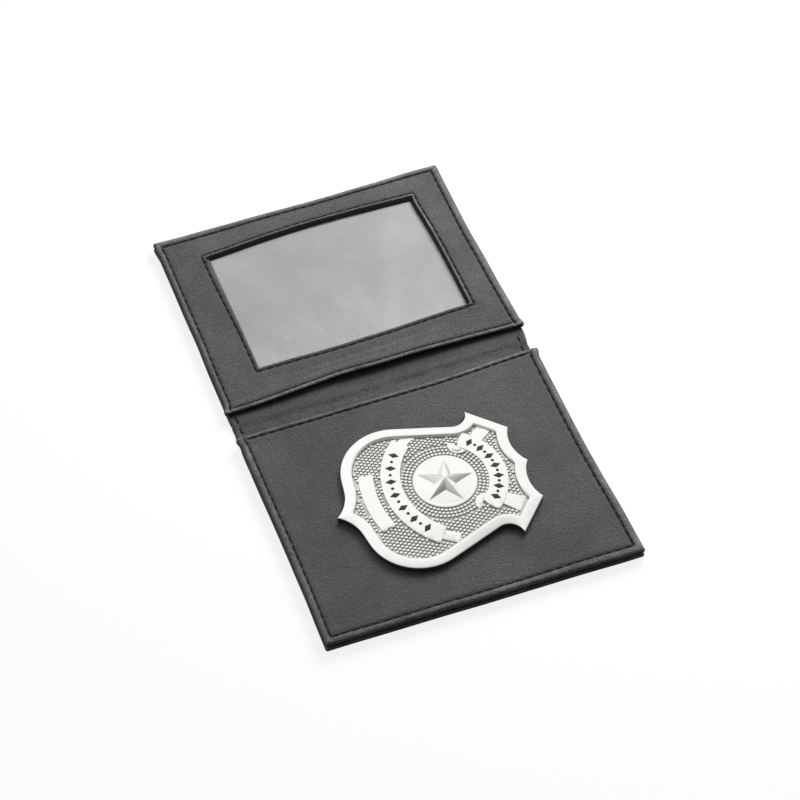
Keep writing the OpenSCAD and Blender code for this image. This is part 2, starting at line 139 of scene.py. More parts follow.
class WalletLeather(bpy.types.PropertyGroup):
    """Sizes of the leather and its seams."""

    corner_r: millimetres("Corner radius", "Radius of the four outer corners", 0.8, 0.5, 10)
    mouth_corner_r: millimetres(
        "Mouth corner radius", "Radius of the corners at a pocket mouth", 1, 0.2, 4)
    hem_w: millimetres("Hem width", "Width of the hem that lifts a pocket off the lining", 7, 4, 12)
    turned_edge_w: millimetres(
        "Turned edge", "Width of the cover's edge that is turned over the board", 5.5, 3, 10)
    left_seam_inset: millimetres(
        "Left seam inset", "Distance of the perimeter seam from the left edge", 2.4, 1.5, 6)
    right_seam_inset: millimetres(
        "Right seam inset", "Distance of the perimeter seam from the right edge", 2.8, 1.5, 6)
    end_seam_inset: millimetres(
        "End seam inset", "Distance of the perimeter seam from both free ends", 2.8, 1.5, 6)
    mouth_seam_inset: millimetres(
        "Mouth seam inset", "Distance of a mouth seam from the pocket mouth", 1.6, 1, 5)
    stitch_pitch: millimetres("Stitch pitch", "Distance from one stitch to the next", 3.3, 2, 6)
    stitch_l: millimetres("Stitch length", "Visible length of one stitch", 2.7, 1, 5)
    thread_w: millimetres("Thread width", "Width of the thread", 0.5, 0.2, 1)
    groove_depth: millimetres("Seam depth", "How deep a seam draws the leather in", 0.42, 0.1, 1)
    groove_w: millimetres("Seam width", "Width of the dip that a seam draws", 0.9, 0.3, 2)
    welt_h: millimetres(
        "Edge swell", "How much the leather swells between the seam and the edge", 0.26, 0.0, 1)
    crumple: millimetres(
        "Unevenness", "Height of the soft hollows and swells in the leather", 0.12, 0.0, 1)
    sway: millimetres("Edge sway", "How far an edge strays from a straight line", 0.24, 0.0, 1)
    pinch: millimetres("Spine pinch", "How far the sides are drawn in beside the spine", 0.7, 0.0, 3)
    knob: millimetres(
        "Mouth knob", "How far a pocket sticks out sideways at the ends of its mouth", 0.7, 0.0, 2)
    tip_reach: millimetres("Tip reach", "How far the window half's left tip is pulled out", 0.6, 0.0, 2)
    mouth_creep: millimetres(
        "Mouth creep", "How far the badge panel's mouth lies over the fold", 1.1, 0.0, 2)


class WalletWindow(bpy.types.PropertyGroup):
    """Sizes of the card window and the way its leather stands."""

    opening_w: millimetres("Window width", "Width of the window opening", 74.8, 50, 90)
    opening_x: millimetres(
        "Window offset", "How far the window lies to the right of the middle", 0.85, -10, 10)
    opening_l: millimetres("Window length", "Length of the window opening", 50.6, 30, 60)
    from_edge: millimetres(
        "Window from edge", "Distance from the free edge to the middle of the window", 38.9, 30, 50)
    corner_r: millimetres("Window corner radius", "Radius of the window's corners", 0.6, 0.2, 4)
    far_seam_gap: millimetres(
        "Far seam gap", "Distance from the window opening to the seam beyond its far lip", 2, 1, 5)
    near_seam_gap: millimetres(
        "Near seam gap", "Distance from the window opening to the seam before its near lip", 1.4, 1, 5)
    left_seam_gap: millimetres(
        "Left seam gap", "Distance from the window opening to the seam beyond its left lip", 1.6, 1, 5)
    right_seam_gap: millimetres(
        "Right seam gap", "Distance from the window opening to the seam beyond its right lip", 1.95, 1, 5)
    steep_lip_w: millimetres(
        "Steep lip width", "Width of the slope down to the film at the near and left lips", 0.3, 0.1, 1)
    open_lip_w: millimetres(
        "Open lip width", "Width of the slope down to the film at the far lip", 1.2, 0.5, 2)
    skew: plain(
        "Skew", "How much further the window lies from the spine for each length to the right",
        0.024, 0.0, 0.1)
    far_bow: millimetres(
        "Far bow", "How far the window's far edge bows outward at its middle", 2.25, 0.0, 4)
    near_bow: millimetres(
        "Near bow", "How far the window's near edge bows outward at its middle", 0.75, 0.0, 4)
    mouth_bow: millimetres(
        "Mouth bow", "How far the card pocket's mouth bows towards the window", 2.2, 0.0, 4)
    mouth_lift: millimetres(
        "Mouth lift", "How far the card pocket's mouth stands open at its middle", 0.8, 0.0, 3)
    lip_lift: millimetres("Lip lift", "How far the window's near and left lips stand up", 0.2, 0.0, 2)
    open_lift: millimetres("Open lip lift", "How much more the far and right lips stand up", 0.5, 0.0, 3)
    film_wave: millimetres("Film wave", "Height of the waves in the clear film", 0.16, 0.0, 0.5)


class WalletShield(bpy.types.PropertyGroup):
    """Sizes of the shield's relief."""

    rim_w: millimetres("Rim width", "Width of the shield's raised rim", 3.9, 3, 4.4)
    field_h: millimetres(
        "Field height", "Height of the beaded field above the shield's back", 1.3, 0.8, 1.8)
    banner_h: millimetres("Banner height", "Height of the banners above the shield's back", 2.3, 1.9, 2.8)
    tail_h: millimetres("Tail height", "Height of the folded tails above the shield's back", 1.9, 1.6, 2.4)
    bead_r: millimetres("Bead radius", "Radius of a bead", 0.64, 0.3, 1)
    bead_h: millimetres("Bead height", "Height of a bead above the field", 0.5, 0.2, 1)
    bead_pitch: millimetres("Bead pitch", "Distance from one bead to the next", 1.3, 0.8, 2)
    star_r: millimetres("Star radius", "Radius of the star's points", 9.1, 6, 9.4)
    enamel_proud: millimetres(
        "Enamel swell", "How far the enamel stands proud of its banner", 0.04, 0.0, 0.2)


class WalletColours(bpy.types.PropertyGroup):
    """Colours of the finishes."""

    panel: tint("Panel leather", "Colour of the leather inside the wallet", (0.077, 0.0785, 0.081))
    cover: tint("Cover leather", "Colour of the outer leather", (0.062, 0.061, 0.066))
    lining: tint("Lining leather", "Colour of the lining leather", (0.072, 0.071, 0.077))
    # Wear and painted sheen: this lighter colour is painted on edges, welts and window lips, partly as wear
    # and partly as sheen, and down the lining's middle as a painted highlight.
    wear_and_sheen_leather: tint(
        "Rubbed leather", "Colour of leather that is rubbed and stretched at an edge", (0.23, 0.23, 0.24))
    thread: tint("Thread", "Colour of the sewing thread", (0.013, 0.013, 0.014))
    plate: tint("Plating", "Colour of the shield's bright plating", (0.905, 0.9, 0.88))
    # Painted shade: this dark plating colour is painted on the shield's outer wall, at the foot of its rim
    # and the beads, and on the field between the beads.
    recess: tint(
        "Plating in recesses", "Colour of the plating where it lies deep between raised work",
        (0.2, 0.2, 0.19))
    enamel: tint("Enamel", "Colour of the enamel in the banners", (0.012, 0.012, 0.014))
    film: tint("Clear film", "Tint of the clear film over the card", (0.72, 0.72, 0.71))
    card: tint("Card", "Colour of the blank card", (0.385, 0.387, 0.38))
    board: tint("Board", "Colour of the stiffener boards", (0.36, 0.31, 0.24))
    cloth: tint("Backing cloth", "Colour of the cloth behind the badge panel", (0.07, 0.07, 0.075))
    steel: tint("Post steel", "Colour of the shield's posts", (0.55, 0.55, 0.57))
    brass: tint("Nut brass", "Colour of the retaining nuts", (0.72, 0.55, 0.27))
    floor: tint("Floor", "Colour of the floor", (0.22, 0.22, 0.22))


class WalletStage(bpy.types.PropertyGroup):
    """The camera, the floor and the light."""

    lens: plain("Lens", "Focal length on a 36 mm wide sensor, in millimetres", 104.11, 20, 300)
    azimuth: FloatProperty(
        name="Azimuth", description="Turn of the camera round the wallet, from straight in front",
        default=math.radians(-20.737), subtype="ANGLE")
    elevation: FloatProperty(
        name="Elevation", description="Angle of the camera above the floor",
        default=math.radians(51.087), subtype="ANGLE")
    distance: millimetres(
        "Distance", "Distance from the camera to the point that it looks at", 755.8, 100, 5000)
    aim: FloatVectorProperty(
        name="Aim", description="The point that the camera looks at",
        default=(0.00215, -0.0065, 0.0041), subtype="XYZ", unit="LENGTH")
    lamp_way: FloatVectorProperty(
        name="Lamp direction", description="Direction from the wallet to the soft lamp",
        default=(0.55, 0.5, 0.67), subtype="DIRECTION")
    lamp_size: millimetres("Lamp size", "Width of the square soft lamp", 220, 100, 4000)
    lamp_distance: millimetres("Lamp distance", "Distance from the lamp to the wallet", 450, 200, 5000)
    lamp_power: plain("Lamp power", "Power of the soft lamp, in watts", 2.1, 0.0, 100)
    sky: plain("Sky light", "Strength of the soft light from all round", 0.4, 0.0, 2)
    sweep: plain(
        "Sweep brightness", "Brightness of the pale sweep behind the wallet, as gloss shows it", 1.1, 0.0, 3)
    near_share: plain(
        "Near side share", "Brightness of the near side as a share of the sweep's", 0.2, 0.0, 1)
    floor_glow: plain(
        "Floor brightness", "How much the floor is lifted towards white for the camera alone", 0.84, 0.0, 1)


def in_mm(group):
    """A group's values by name, its lengths in millimetres."""
    values = {}
    for name, prop in group.bl_rna.properties.items():
        if prop.type == "FLOAT" and not prop.is_array:
            value = getattr(group, name)
            values[name] = value / MM if prop.unit == "LENGTH" else value
    return SimpleNamespace(**values)


def leather_sizes():
    return in_mm(bpy.context.scene.wallet_leather)


def window_sizes():
    return in_mm(bpy.context.scene.wallet_window)


# The shaping helpers take and give millimetres
def smooth(value, start, finish):
    share = np.clip((value - start) / (finish - start), 0, 1)
    return share * share * (3 - 2 * share)


def hill(value, middle, reach):
    share = np.clip(np.abs(value - middle) / reach, 0, 1)
    return (1 - share * share) ** 2


def soft_noise(x, y, grain, seed):
    """Even, rounded noise between -1 and 1, with features about grain wide."""
    cells = 64
    table = np.random.default_rng(seed).uniform(-1, 1, (cells, cells))
    gx, gy = np.broadcast_arrays(np.asarray(x, float) / grain, np.asarray(y, float) / grain)
    left, low = np.floor(gx).astype(int), np.floor(gy).astype(int)
    across, up = smooth(gx - left, 0, 1), smooth(gy - low, 0, 1)
    left, right = left % cells, (left + 1) % cells
    low, high = low % cells, (low + 1) % cells
    near = table[left, low] * (1 - across) + table[right, low] * across
    far = table[left, high] * (1 - across) + table[right, high] * across
    return near * (1 - up) + far * up


def grid_lines(start, finish, step, marks=(), roll_start=0.0, roll_finish=0.0, spread=1.1):
    """Grid lines: even, closer together about each mark, and closing up towards a rolled end."""
    turns = [1 - math.cos(math.radians(angle)) for angle in (0, 15, 30, 45, 60, 75, 90)]
    fine = {start, finish}
    fine.update(start + roll_start * turn for turn in turns)
    fine.update(finish - roll_finish * turn for turn in turns)
    for mark in marks:
        fine.update(mark + spread * share for share in (-1, -0.5, -0.25, 0, 0.25, 0.5, 1))
    fine = sorted(value for value in fine if start <= value <= finish)
    count = max(2, round((finish - start) / step) + 1)
    for value in np.linspace(start, finish, count):
        if min(abs(value - other) for other in fine) > 0.45 * step:
            fine.append(value)
    lines = []
    for value in sorted(fine):
        if not lines or value - lines[-1] > 0.02:
            lines.append(value)
    return np.array(lines)


def squircle(across, along):
    """Carries the unit square onto the unit quarter disc."""
    return across * np.sqrt(1 - along * along / 2), along * np.sqrt(1 - across * across / 2)


def round_outline(x, t, near_r, far_r):
    """Rounds the corners of a grid's outline."""
    x, t = x.copy(), t.copy()
    low, high, start, finish = x.min(), x.max(), t.min(), t.max()
    for way_x, edge_x in ((-1, low), (1, high)):
        for way_t, edge_t, radius in ((-1, start, near_r), (1, finish, far_r)):
            if radius <= 0:
                continue
            middle_x, middle_t = edge_x - way_x * radius, edge_t - way_t * radius
            across = (x - middle_x) * way_x / radius
            along = (t - middle_t) * way_t / radius
            inside = (across > 0) & (along > 0)
            new_x, new_t = squircle(across.clip(0, 1), along.clip(0, 1))
            x = np.where(inside, middle_x + way_x * radius * new_x, x)
            t = np.where(inside, middle_t + way_t * radius * new_t, t)
    return x, t


def round_holes(x, t, holes):
    """Rounds the corners of the holes in a grid. A hole is x, t, half width, half length and radius."""
    for hole_x, hole_t, half_w, half_l, radius in holes:
        fade = min(2 * radius, 2.0) / radius
        move_x, move_t = np.zeros_like(x), np.zeros_like(t)
        for way_x in (-1, 1):
            for way_t in (-1, 1):
                across = ((x - hole_x) * way_x - half_w + radius) / radius
                along = ((t - hole_t) * way_t - half_l + radius) / radius
                inside = (across > 0) & (along > 0)
                cut_x, cut_t = across.clip(0, 1), along.clip(0, 1)
                new_x, new_t = squircle(cut_x, cut_t)
                share = (1 - smooth(np.maximum(across, along), 1, 1 + fade)) * inside
                move_x += way_x * radius * (new_x - cut_x) * share
                move_t += way_t * radius * (new_t - cut_t) * share
        x, t = x + move_x, t + move_t
    return x, t


def roll_share(distance, radius):
    """How full a rolled edge is, from 0 on the edge to 1 where its curve ends."""
    if radius <= 0:
        return np.ones_like(distance)
    return np.sqrt(1 - (1 - np.clip(distance / radius, 0, 1)) ** 2)


def clean_mesh(mesh, weld=1e-6):
    """Welds doubled points, drops loose ones and turns every face outward."""
    work = bmesh.new()
    work.from_mesh(mesh)
    bmesh.ops.remove_doubles(work, verts=work.verts, dist=weld)
    loose = [point for point in work.verts if not point.link_faces]
    bmesh.ops.delete(work, geom=loose, context="VERTS")
    bmesh.ops.recalc_face_normals(work, faces=work.faces)
    work.to_mesh(mesh)
    work.free()


def shade(mesh, sharp):
    """Shades a mesh smooth, apart from edges that turn by more than an angle in degrees."""
    mesh.polygons.foreach_set("use_smooth", [True] * len(mesh.polygons))
    mesh.set_sharp_from_angle(angle=math.radians(sharp))


def add_piece(name, points, faces, material, sharp=40.0, masks=None, weld=1e-6):
    """Makes an object from points in millimetres. masks holds a value for each point by mask name."""
    mesh = bpy.data.meshes.new(name)
    mesh.from_pydata((np.asarray(points, float) * MM).tolist(), [], faces)
    for mask, values in (masks or {}).items():
        layer = mesh.attributes.new(mask, "FLOAT", "POINT")
        layer.data.foreach_set("value", np.asarray(values, np.float32))
    if weld:
        clean_mesh(mesh, weld)
    shade(mesh, sharp)
    mesh.materials.append(material)
    piece = bpy.data.objects.new(name, mesh)
    bpy.context.scene.collection.objects.link(piece)
    return piece


class Parts:
    """Collects several closed forms into one mesh."""

    def __init__(self):
        self.points, self.faces, self.values = [], [], []

    def add(self, points, faces, values=0.0):
        first = len(self.points)
        self.points.extend(tuple(point) for point in points)
        self.faces.extend(tuple(first + corner for corner in face) for face in faces)
        self.values.extend(values if isinstance(values, list) else [values] * len(points))


def sheet(name, material, xs, ts, top, under, place, side, holes=(), near_r=0.0, far_r=0.0,
          side_roll=0.0, near_roll=0.0, far_roll=0.0, masks=None):
    """A leather sheet or film between two surfaces.

    top, under and the masks are given the flat place of each point, and place moves it to where the soft
    sheet really lies. A mask is also told if the point is on top.
    """
    grid_x, grid_t = np.meshgrid(xs, ts, indexing="ij")
    full = roll_share(np.minimum(grid_x - xs[0], xs[-1] - grid_x), side_roll)
    full = full * roll_share(grid_t - ts[0], near_roll) * roll_share(ts[-1] - grid_t, far_roll)
    flat_x, flat_t = round_outline(grid_x, grid_t, near_r, far_r)
    flat_x, flat_t = round_holes(flat_x, flat_t, holes)
    high, low = top(flat_x, flat_t), under(flat_x, flat_t)
    middle, half = (high + low) / 2, (high - low) / 2 * full
    world_x, world_t = place(flat_x, flat_t)
    upper = np.stack([world_x, side * world_t, middle + half], -1).reshape(-1, 3)
    lower = np.stack([world_x, side * world_t, middle - half], -1).reshape(-1, 3)
    rows, columns = grid_x.shape
    middle_x = (xs[1:] + xs[:-1])[:, None] / 2
    middle_t = (ts[1:] + ts[:-1])[None, :] / 2
    keep = np.ones((rows - 1, columns - 1), bool)
    for hole_x, hole_t, half_w, half_l, _ in holes:
        keep &= ~((np.abs(middle_x - hole_x) < half_w) & (np.abs(middle_t - hole_t) < half_l))
    number = np.arange(rows * columns).reshape(rows, columns)
    count = rows * columns
    quads = np.stack([number[:-1, :-1], number[1:, :-1], number[1:, 1:], number[:-1, 1:]], -1)[keep]
    walled = np.pad(keep, 1)
    across = walled[:-1, 1:-1] != walled[1:, 1:-1]
    along = walled[1:-1, :-1] != walled[1:-1, 1:]
    first = np.concatenate([number[:, :-1][across], number[:-1, :][along]])
    second = np.concatenate([number[:, 1:][across], number[1:, :][along]])
    walls = np.stack([first, second, second + count, first + count], -1)
    faces = np.concatenate([quads, quads[:, ::-1] + count, walls])
    values = {label: np.concatenate([mask(flat_x, flat_t, on_top).reshape(-1) for on_top in (True, False)])
              for label, mask in (masks or {}).items()}
    return add_piece(name, np.concatenate([upper, lower]), faces.tolist(), material, masks=values)


def rows_of(*corners):
    """Seam rows from corner to corner."""
    return [(np.array(a, float), np.array(b, float)) for a, b in zip(corners, corners[1:])]


def row_count(start, finish, pitch):
    return max(1, round(float(np.linalg.norm(finish - start)) / pitch))


def by_row(x, t, start, finish):
    """For each point the distance along a seam row and the square of its distance from it."""
    length = float(np.linalg.norm(finish - start))
    way = (finish - start) / length
    along = (x - start[0]) * way[0] + (t - start[1]) * way[1]
    off = (t - start[1]) * way[0] - (x - start[0]) * way[1]
    over = np.maximum(0, np.maximum(-along, along - length))
    return along, off * off + over * over, length


def seam_dip(x, t, rows, leather):
    """How deep the seams draw the leather in at each point, deepest where the thread enters it."""
    dip = np.zeros_like(x)
    for start, finish in rows:
        along, apart, length = by_row(x, t, start, finish)
        beat = np.cos(2 * math.pi * along * row_count(start, finish, leather.stitch_pitch) / length)
        fall = np.exp(-apart / (leather.groove_w / 2) ** 2)
        dip = np.maximum(dip, leather.groove_depth * fall * (0.76 + 0.24 * beat))
    return dip


def seam_shade_mask(x, t, rows):
    """A narrow mask along seams, for painted shade in the groove between two stitches."""
    reach = 0.34
    mask = np.zeros_like(x)
    for row in rows:
        mask = np.maximum(mask, np.exp(-by_row(x, t, *row)[1] / reach ** 2))
    return mask


def add_stitches(parts, rows, surface, place, side, leather, upward=1, seed=1):
    """Thread tubes that lie in a seam's dip and dive into the leather at both ends."""
    rings, corners = 7, 8
    proud, dive, flattened = 0.17, 0.30, 0.8
    chance = np.random.default_rng(seed)
    run = np.linspace(-1, 1, rings)
    for start, finish in rows:
        length = float(np.linalg.norm(finish - start))
        way = (finish - start) / length
        off = np.array([-way[1], way[0]])
        count = row_count(start, finish, leather.stitch_pitch)
        pitch = length / count
        half = min(leather.stitch_l, pitch * leather.stitch_l / leather.stitch_pitch) / 2
        middles = (np.arange(count) + 0.5) * pitch
        slant = chance.uniform(0.04, 0.12, count)[:, None]
        shift = chance.uniform(-0.05, 0.05, count)[:, None]
        stretch = chance.uniform(0.92, 1.05, count)[:, None]
        along = middles[:, None] + run[None, :] * half * stretch
        aside = shift + slant * run[None, :]
        flat_x = start[0] + way[0] * along + off[0] * aside
        flat_t = start[1] + way[1] * along + off[1] * aside
        world_x, world_t = place(flat_x, flat_t)
        centre = np.stack([world_x, side * world_t, surface(flat_x, flat_t)], -1)
        centre[..., 2] += upward * (proud - dive * np.abs(run) ** 5)[None, :]
        tangent = np.gradient(centre, axis=1)
        tangent /= np.linalg.norm(tangent, axis=2, keepdims=True)
        aside_way = np.cross(tangent, np.array([0.0, 0.0, 1.0]))
        aside_way /= np.linalg.norm(aside_way, axis=2, keepdims=True)
        up_way = np.cross(aside_way, tangent)
        width = leather.thread_w / 2 * np.sqrt(1 - 0.72 * run ** 6)
        angles = np.arange(corners) * 2 * math.pi / corners
        across = aside_way[:, :, None] * (width[:, None] * np.cos(angles))[None, :, :, None]
        above = up_way[:, :, None] * (width[:, None] * flattened * np.sin(angles))[None, :, :, None]
        for points in (centre[:, :, None] + across + above).reshape(count, -1, 3):
            parts.add(points, tube_faces(rings, corners))


def tube_faces(rings, corners):
    """Faces of a closed tube whose rings follow each other."""
    faces = []
    for ring in range(rings - 1):
        for corner in range(corners):
            follow = (corner + 1) % corners
            faces.append((ring * corners + corner, ring * corners + follow,
                          (ring + 1) * corners + follow, (ring + 1) * corners + corner))
    faces.append(tuple(reversed(range(corners))))
    faces.append(tuple((rings - 1) * corners + corner for corner in range(corners)))
    return faces


# How far the leather lies from its straight place, read off the photograph. A pair holds the distance at one
# end and how much it changes towards the other
RIGHT_SIDE_DRAWN = {WINDOW_SIDE: 0.6, BADGE_SIDE: 0.65}
LEFT_SIDE_OUT = 0.5
WINDOW_END_ASKEW = (0.95, 1.35)
BADGE_END_ASKEW = (0.4, 0.8)
TIP_SHIFT = 0.2
BADGE_MOUTH_SLANT = 1.4
BADGE_END_SEAM_SHIFT = 0.35
CARD_MOUTH_SLANT = (0.25, 1.6)
CARD_MOUTH_SAG = 0.4
NEAR_LIP_SHIFT = -0.05
FAR_LIP_SHIFT = 0.45
RIGHT_LIP_BOW = (0.6, 0.5)
LEFT_LIP_TURN = (0.3, 1.3)
LEFT_SEAM_SHIFT = -0.3


def edge_gap(x, t):
    """Distance in from the wallet's two sides and its free end."""
    return np.minimum(HALF_W - np.abs(x), END_T - t)


def stray(x, t, side, leather):
    """How the outer edges leave their straight lines: they sway, draw in at the sides and lie askew."""
    near_side = 1 - smooth(HALF_W - np.abs(x), 0, 9)
    near_end = 1 - smooth(END_T - t, 0, 9)
    move_x = leather.sway * near_side * soft_noise(side * t, np.sign(x) * 7.3, 14, 3)
    move_t = leather.sway * near_end * soft_noise(x, side * 11.7, 15, 5)
    if side == WINDOW_SIDE:
        drawn = RIGHT_SIDE_DRAWN[side] * hill(t, 52, 42) * smooth(x, 25, 50)
        askew = WINDOW_END_ASKEW[0] + WINDOW_END_ASKEW[1] * smooth(x, 0, 48)
    else:
        drawn = RIGHT_SIDE_DRAWN[side] * hill(t, 45, 45) * smooth(x, 25, 50)
        drawn = drawn - LEFT_SIDE_OUT * hill(t, 50, 42) * smooth(-x, 25, 50)
        askew = BADGE_END_ASKEW[0] + BADGE_END_ASKEW[1] * x / 50
    move_x = move_x - drawn
    if side == WINDOW_SIDE:
        tip = hill(HALF_W + x, 0, 7) * hill(END_T - t, 0, 7)
        move_x = move_x - leather.tip_reach * tip
        move_t = move_t + TIP_SHIFT * tip
    return move_x, move_t + askew * smooth(t, 62, END_T)


def mouth_knob(x, t, mouth_t, leather):
    """How far a pocket's leather sticks out sideways at the ends of its mouth."""
    return leather.knob * np.sign(x) * smooth(np.abs(x), 46, 51.5) * hill(t, mouth_t + 0.6, 3.2)


def place_badge(x, t):
    leather = leather_sizes()
    move_x, move_t = stray(x, t, BADGE_SIDE, leather)
    creep = (leather.mouth_creep + BADGE_MOUTH_SLANT * smooth(x, 15, 50)) * (1 - smooth(t, 5, 24))
    by_seam = hill(t, seam_lines(leather)[2], leather.end_seam_inset)
    seam = BADGE_END_SEAM_SHIFT * (1 - smooth(x, 5, 45)) * by_seam
    return x + move_x + mouth_knob(x, t, BADGE_MOUTH_T, leather), t + move_t - creep + seam


def place_window(x, t):
    leather = leather_sizes()
    window = window_sizes()
    move_x, move_t = stray(x, t, WINDOW_SIDE, leather)
    by_mouth = 1 - smooth(t, 9, 20)
    mouth = window.mouth_bow * hill(x, 0, 50) - CARD_MOUTH_SAG * hill(x, 0, 14)
    mouth = mouth + CARD_MOUTH_SLANT[0] + CARD_MOUTH_SLANT[1] * smooth(x, 4, 46)
    near = window.skew * x + NEAR_LIP_SHIFT - window.near_bow * hill(x, -2, 40)
    far = window.skew * x + FAR_LIP_SHIFT + window.far_bow * hill(x, 0, 46)
    inner = (near + (far - near) * smooth(t, 26, 72)) * (1 - by_mouth) * (1 - smooth(t, 78, END_T))
    right = RIGHT_LIP_BOW[0] * hill(t, 45, 34) - RIGHT_LIP_BOW[1] * smooth(t, 56, 74)
    right = right * smooth(x, 25, 37) * (1 - smooth(x, 42, 49))
    left = LEFT_LIP_TURN[0] - LEFT_LIP_TURN[1] * smooth(t, 30, 74)
    left = left * smooth(-x, 35.5, 38.2) * (1 - smooth(-x, 42, 49))
    knob = mouth_knob(x, t, WINDOW_MOUTH_T, leather)
    seam = LEFT_SEAM_SHIFT * hill(x, seam_lines(leather)[0], leather.left_seam_inset)
    return x + move_x + right + left + knob + seam, t + move_t + mouth * by_mouth + inner


def place_spine(side):
    """How the cover and the lining lie: their sides are drawn in beside the spine."""
    def place(x, t):
        leather = leather_sizes()
        move_x, move_t = stray(x, t, side, leather)
        y = side * t
        drawn = leather.pinch * (1 - smooth(t, 3, 9)) * smooth(np.abs(x), 38, 52) * (0.7 + 0.3 * np.sign(x))
        pucker = 0.07 * np.sin(y * 1.9 + np.sign(x)) * hill(t, 2, 9) * smooth(np.abs(x), 44, 52)
        return x + move_x - np.sign(x) * (drawn + pucker), t + move_t
    return place


def uneven(x, y, leather, seed):
    return leather.crumple * (0.7 * soft_noise(x, y, 12, seed) + 0.35 * soft_noise(x, y, 5, seed + 1)
                              + 0.15 * soft_noise(x, y, 2.2, seed + 2))


def seam_lines(leather):
    """Where the perimeter seam runs: its left x, its right x and its t at the free end."""
    return (leather.left_seam_inset - HALF_W, HALF_W - leather.right_seam_inset,
            END_T - leather.end_seam_inset)


def panel_rows(mouth_t, leather):
    left, right, end = seam_lines(leather)
    around = rows_of((left, mouth_t + 0.9), (left, end), (right, end), (right, mouth_t + 0.9))
    across = rows_of((left + 1.1, mouth_t + leather.mouth_seam_inset),
                     (right - 1.1, mouth_t + leather.mouth_seam_inset))
    return around, across


def window_seam(window):
    """Where the seam round the window runs: its left and right x, its near and far t."""
    middle = END_T - window.from_edge
    return (window.opening_x - window.opening_w / 2 - window.left_seam_gap,
            window.opening_x + window.opening_w / 2 + window.right_seam_gap,
            middle - window.opening_l / 2 - window.near_seam_gap,
            middle + window.opening_l / 2 + window.far_seam_gap)


def window_rows(window):
    left, right, near, far = window_seam(window)
    return rows_of((left, near), (left, far), (right, far), (right, near), (left, near))


def panel_relief(x, t, side, mouth_t, leather):
    """Swells of a pocket's leather: the welt outside its seams, the mouth's welt, and its unevenness."""
    edge = edge_gap(x, t)
    into = t - mouth_t
    relief = leather.welt_h * hill(edge, 1.8, 1.7)
    relief = relief + 0.12 * hill(edge, 4.0, 1.3)
    relief = np.maximum(relief, leather.welt_h * hill(into, 1.0, 1.0))
    relief = relief + 0.1 * hill(into, leather.mouth_seam_inset + 1.2, 1.2)
    return relief + uneven(x, side * t, leather, 20 + side)


# How far round the star the shield holds the leather flat, and by what share
SHIELD_HOLD_REACH = 46
SHIELD_HOLD_SHARE = 0.8


def badge_top(x, t):
    leather = leather_sizes()
    around, across = panel_rows(BADGE_MOUTH_T, leather)
    by_shield = hill(np.hypot(x - STAR_X, t + STAR_Y), 0, SHIELD_HOLD_REACH)
    relief = panel_relief(x, t, BADGE_SIDE, BADGE_MOUTH_T, leather) * (1 - SHIELD_HOLD_SHARE * by_shield)
    return PANEL_HIGH[2] + relief - seam_dip(x, t, around + across, leather)


def badge_under(x, t):
    leather = leather_sizes()
    rise = smooth(edge_gap(x, t), leather.hem_w - 0.5, leather.hem_w + 0.5)
    return PANEL_LOW[2] + (BACKING_HIGH[2] - PANEL_LOW[2]) * rise


def opening_gap(x, t, window):
    """Distance out from the window opening, whose corners stay nearly square."""
    over_x = np.abs(x - window.opening_x) - window.opening_w / 2 + window.corner_r
    over_t = np.abs(t - END_T + window.from_edge) - window.opening_l / 2 + window.corner_r
    outside = (np.maximum(over_x, 0) ** 5 + np.maximum(over_t, 0) ** 5) ** 0.2
    return outside + np.minimum(np.maximum(over_x, over_t), 0) - window.corner_r


def mouth_rise(x, t, window):
    return window.mouth_lift * hill(x, 0, 49) * (1 - smooth(t, WINDOW_MOUTH_T + 0.5, WINDOW_MOUTH_T + 12))


def open_side(x, t, window):
    """1 along the far and right lips, which stand open, and 0 along the near and left ones."""
    right_x = window.opening_x + window.opening_w / 2
    far_t = END_T - window.from_edge + window.opening_l / 2
    return smooth(np.maximum(x - right_x, t - far_t), -1.2, -0.1)


def lip_width(x, t, window):
    """Width of the slope down to the film, widest along the far lip."""
    far_t = END_T - window.from_edge + window.opening_l / 2
    share = open_side(x, t, window) * (0.5 + 0.5 * smooth(t - far_t, -1.2, -0.1))
    return window.steep_lip_w + (window.open_lip_w - window.steep_lip_w) * share


def lip_rise(x, t, leather, window):
    """How far the leather stands up round the window, most along the far and right lips."""
    _, seam_x, seam_t = seam_lines(leather)
    gap = opening_gap(x, t, window)
    rise = window.lip_lift * (1 - smooth(gap, 1, 6))
    beyond = (1 - smooth(t, seam_t - 5.5, seam_t - 0.5)) * (1 - smooth(x, seam_x - 7.5, seam_x - 1))
    ends = smooth(x, -42, -36) * smooth(t, 17, 25)
    return rise + window.open_lift * open_side(x, t, window) * beyond * ends


# Ripples and a crease beside the card mouth, and the rolled lip of the window
RIPPLE_H = 0.13
RIPPLE_PITCH = 4.6
CREASE_T = 17.0
CREASE_DEPTH = 0.16
LIP_ROLL_H = 0.14
LIP_FOOT_GAP = 0.2


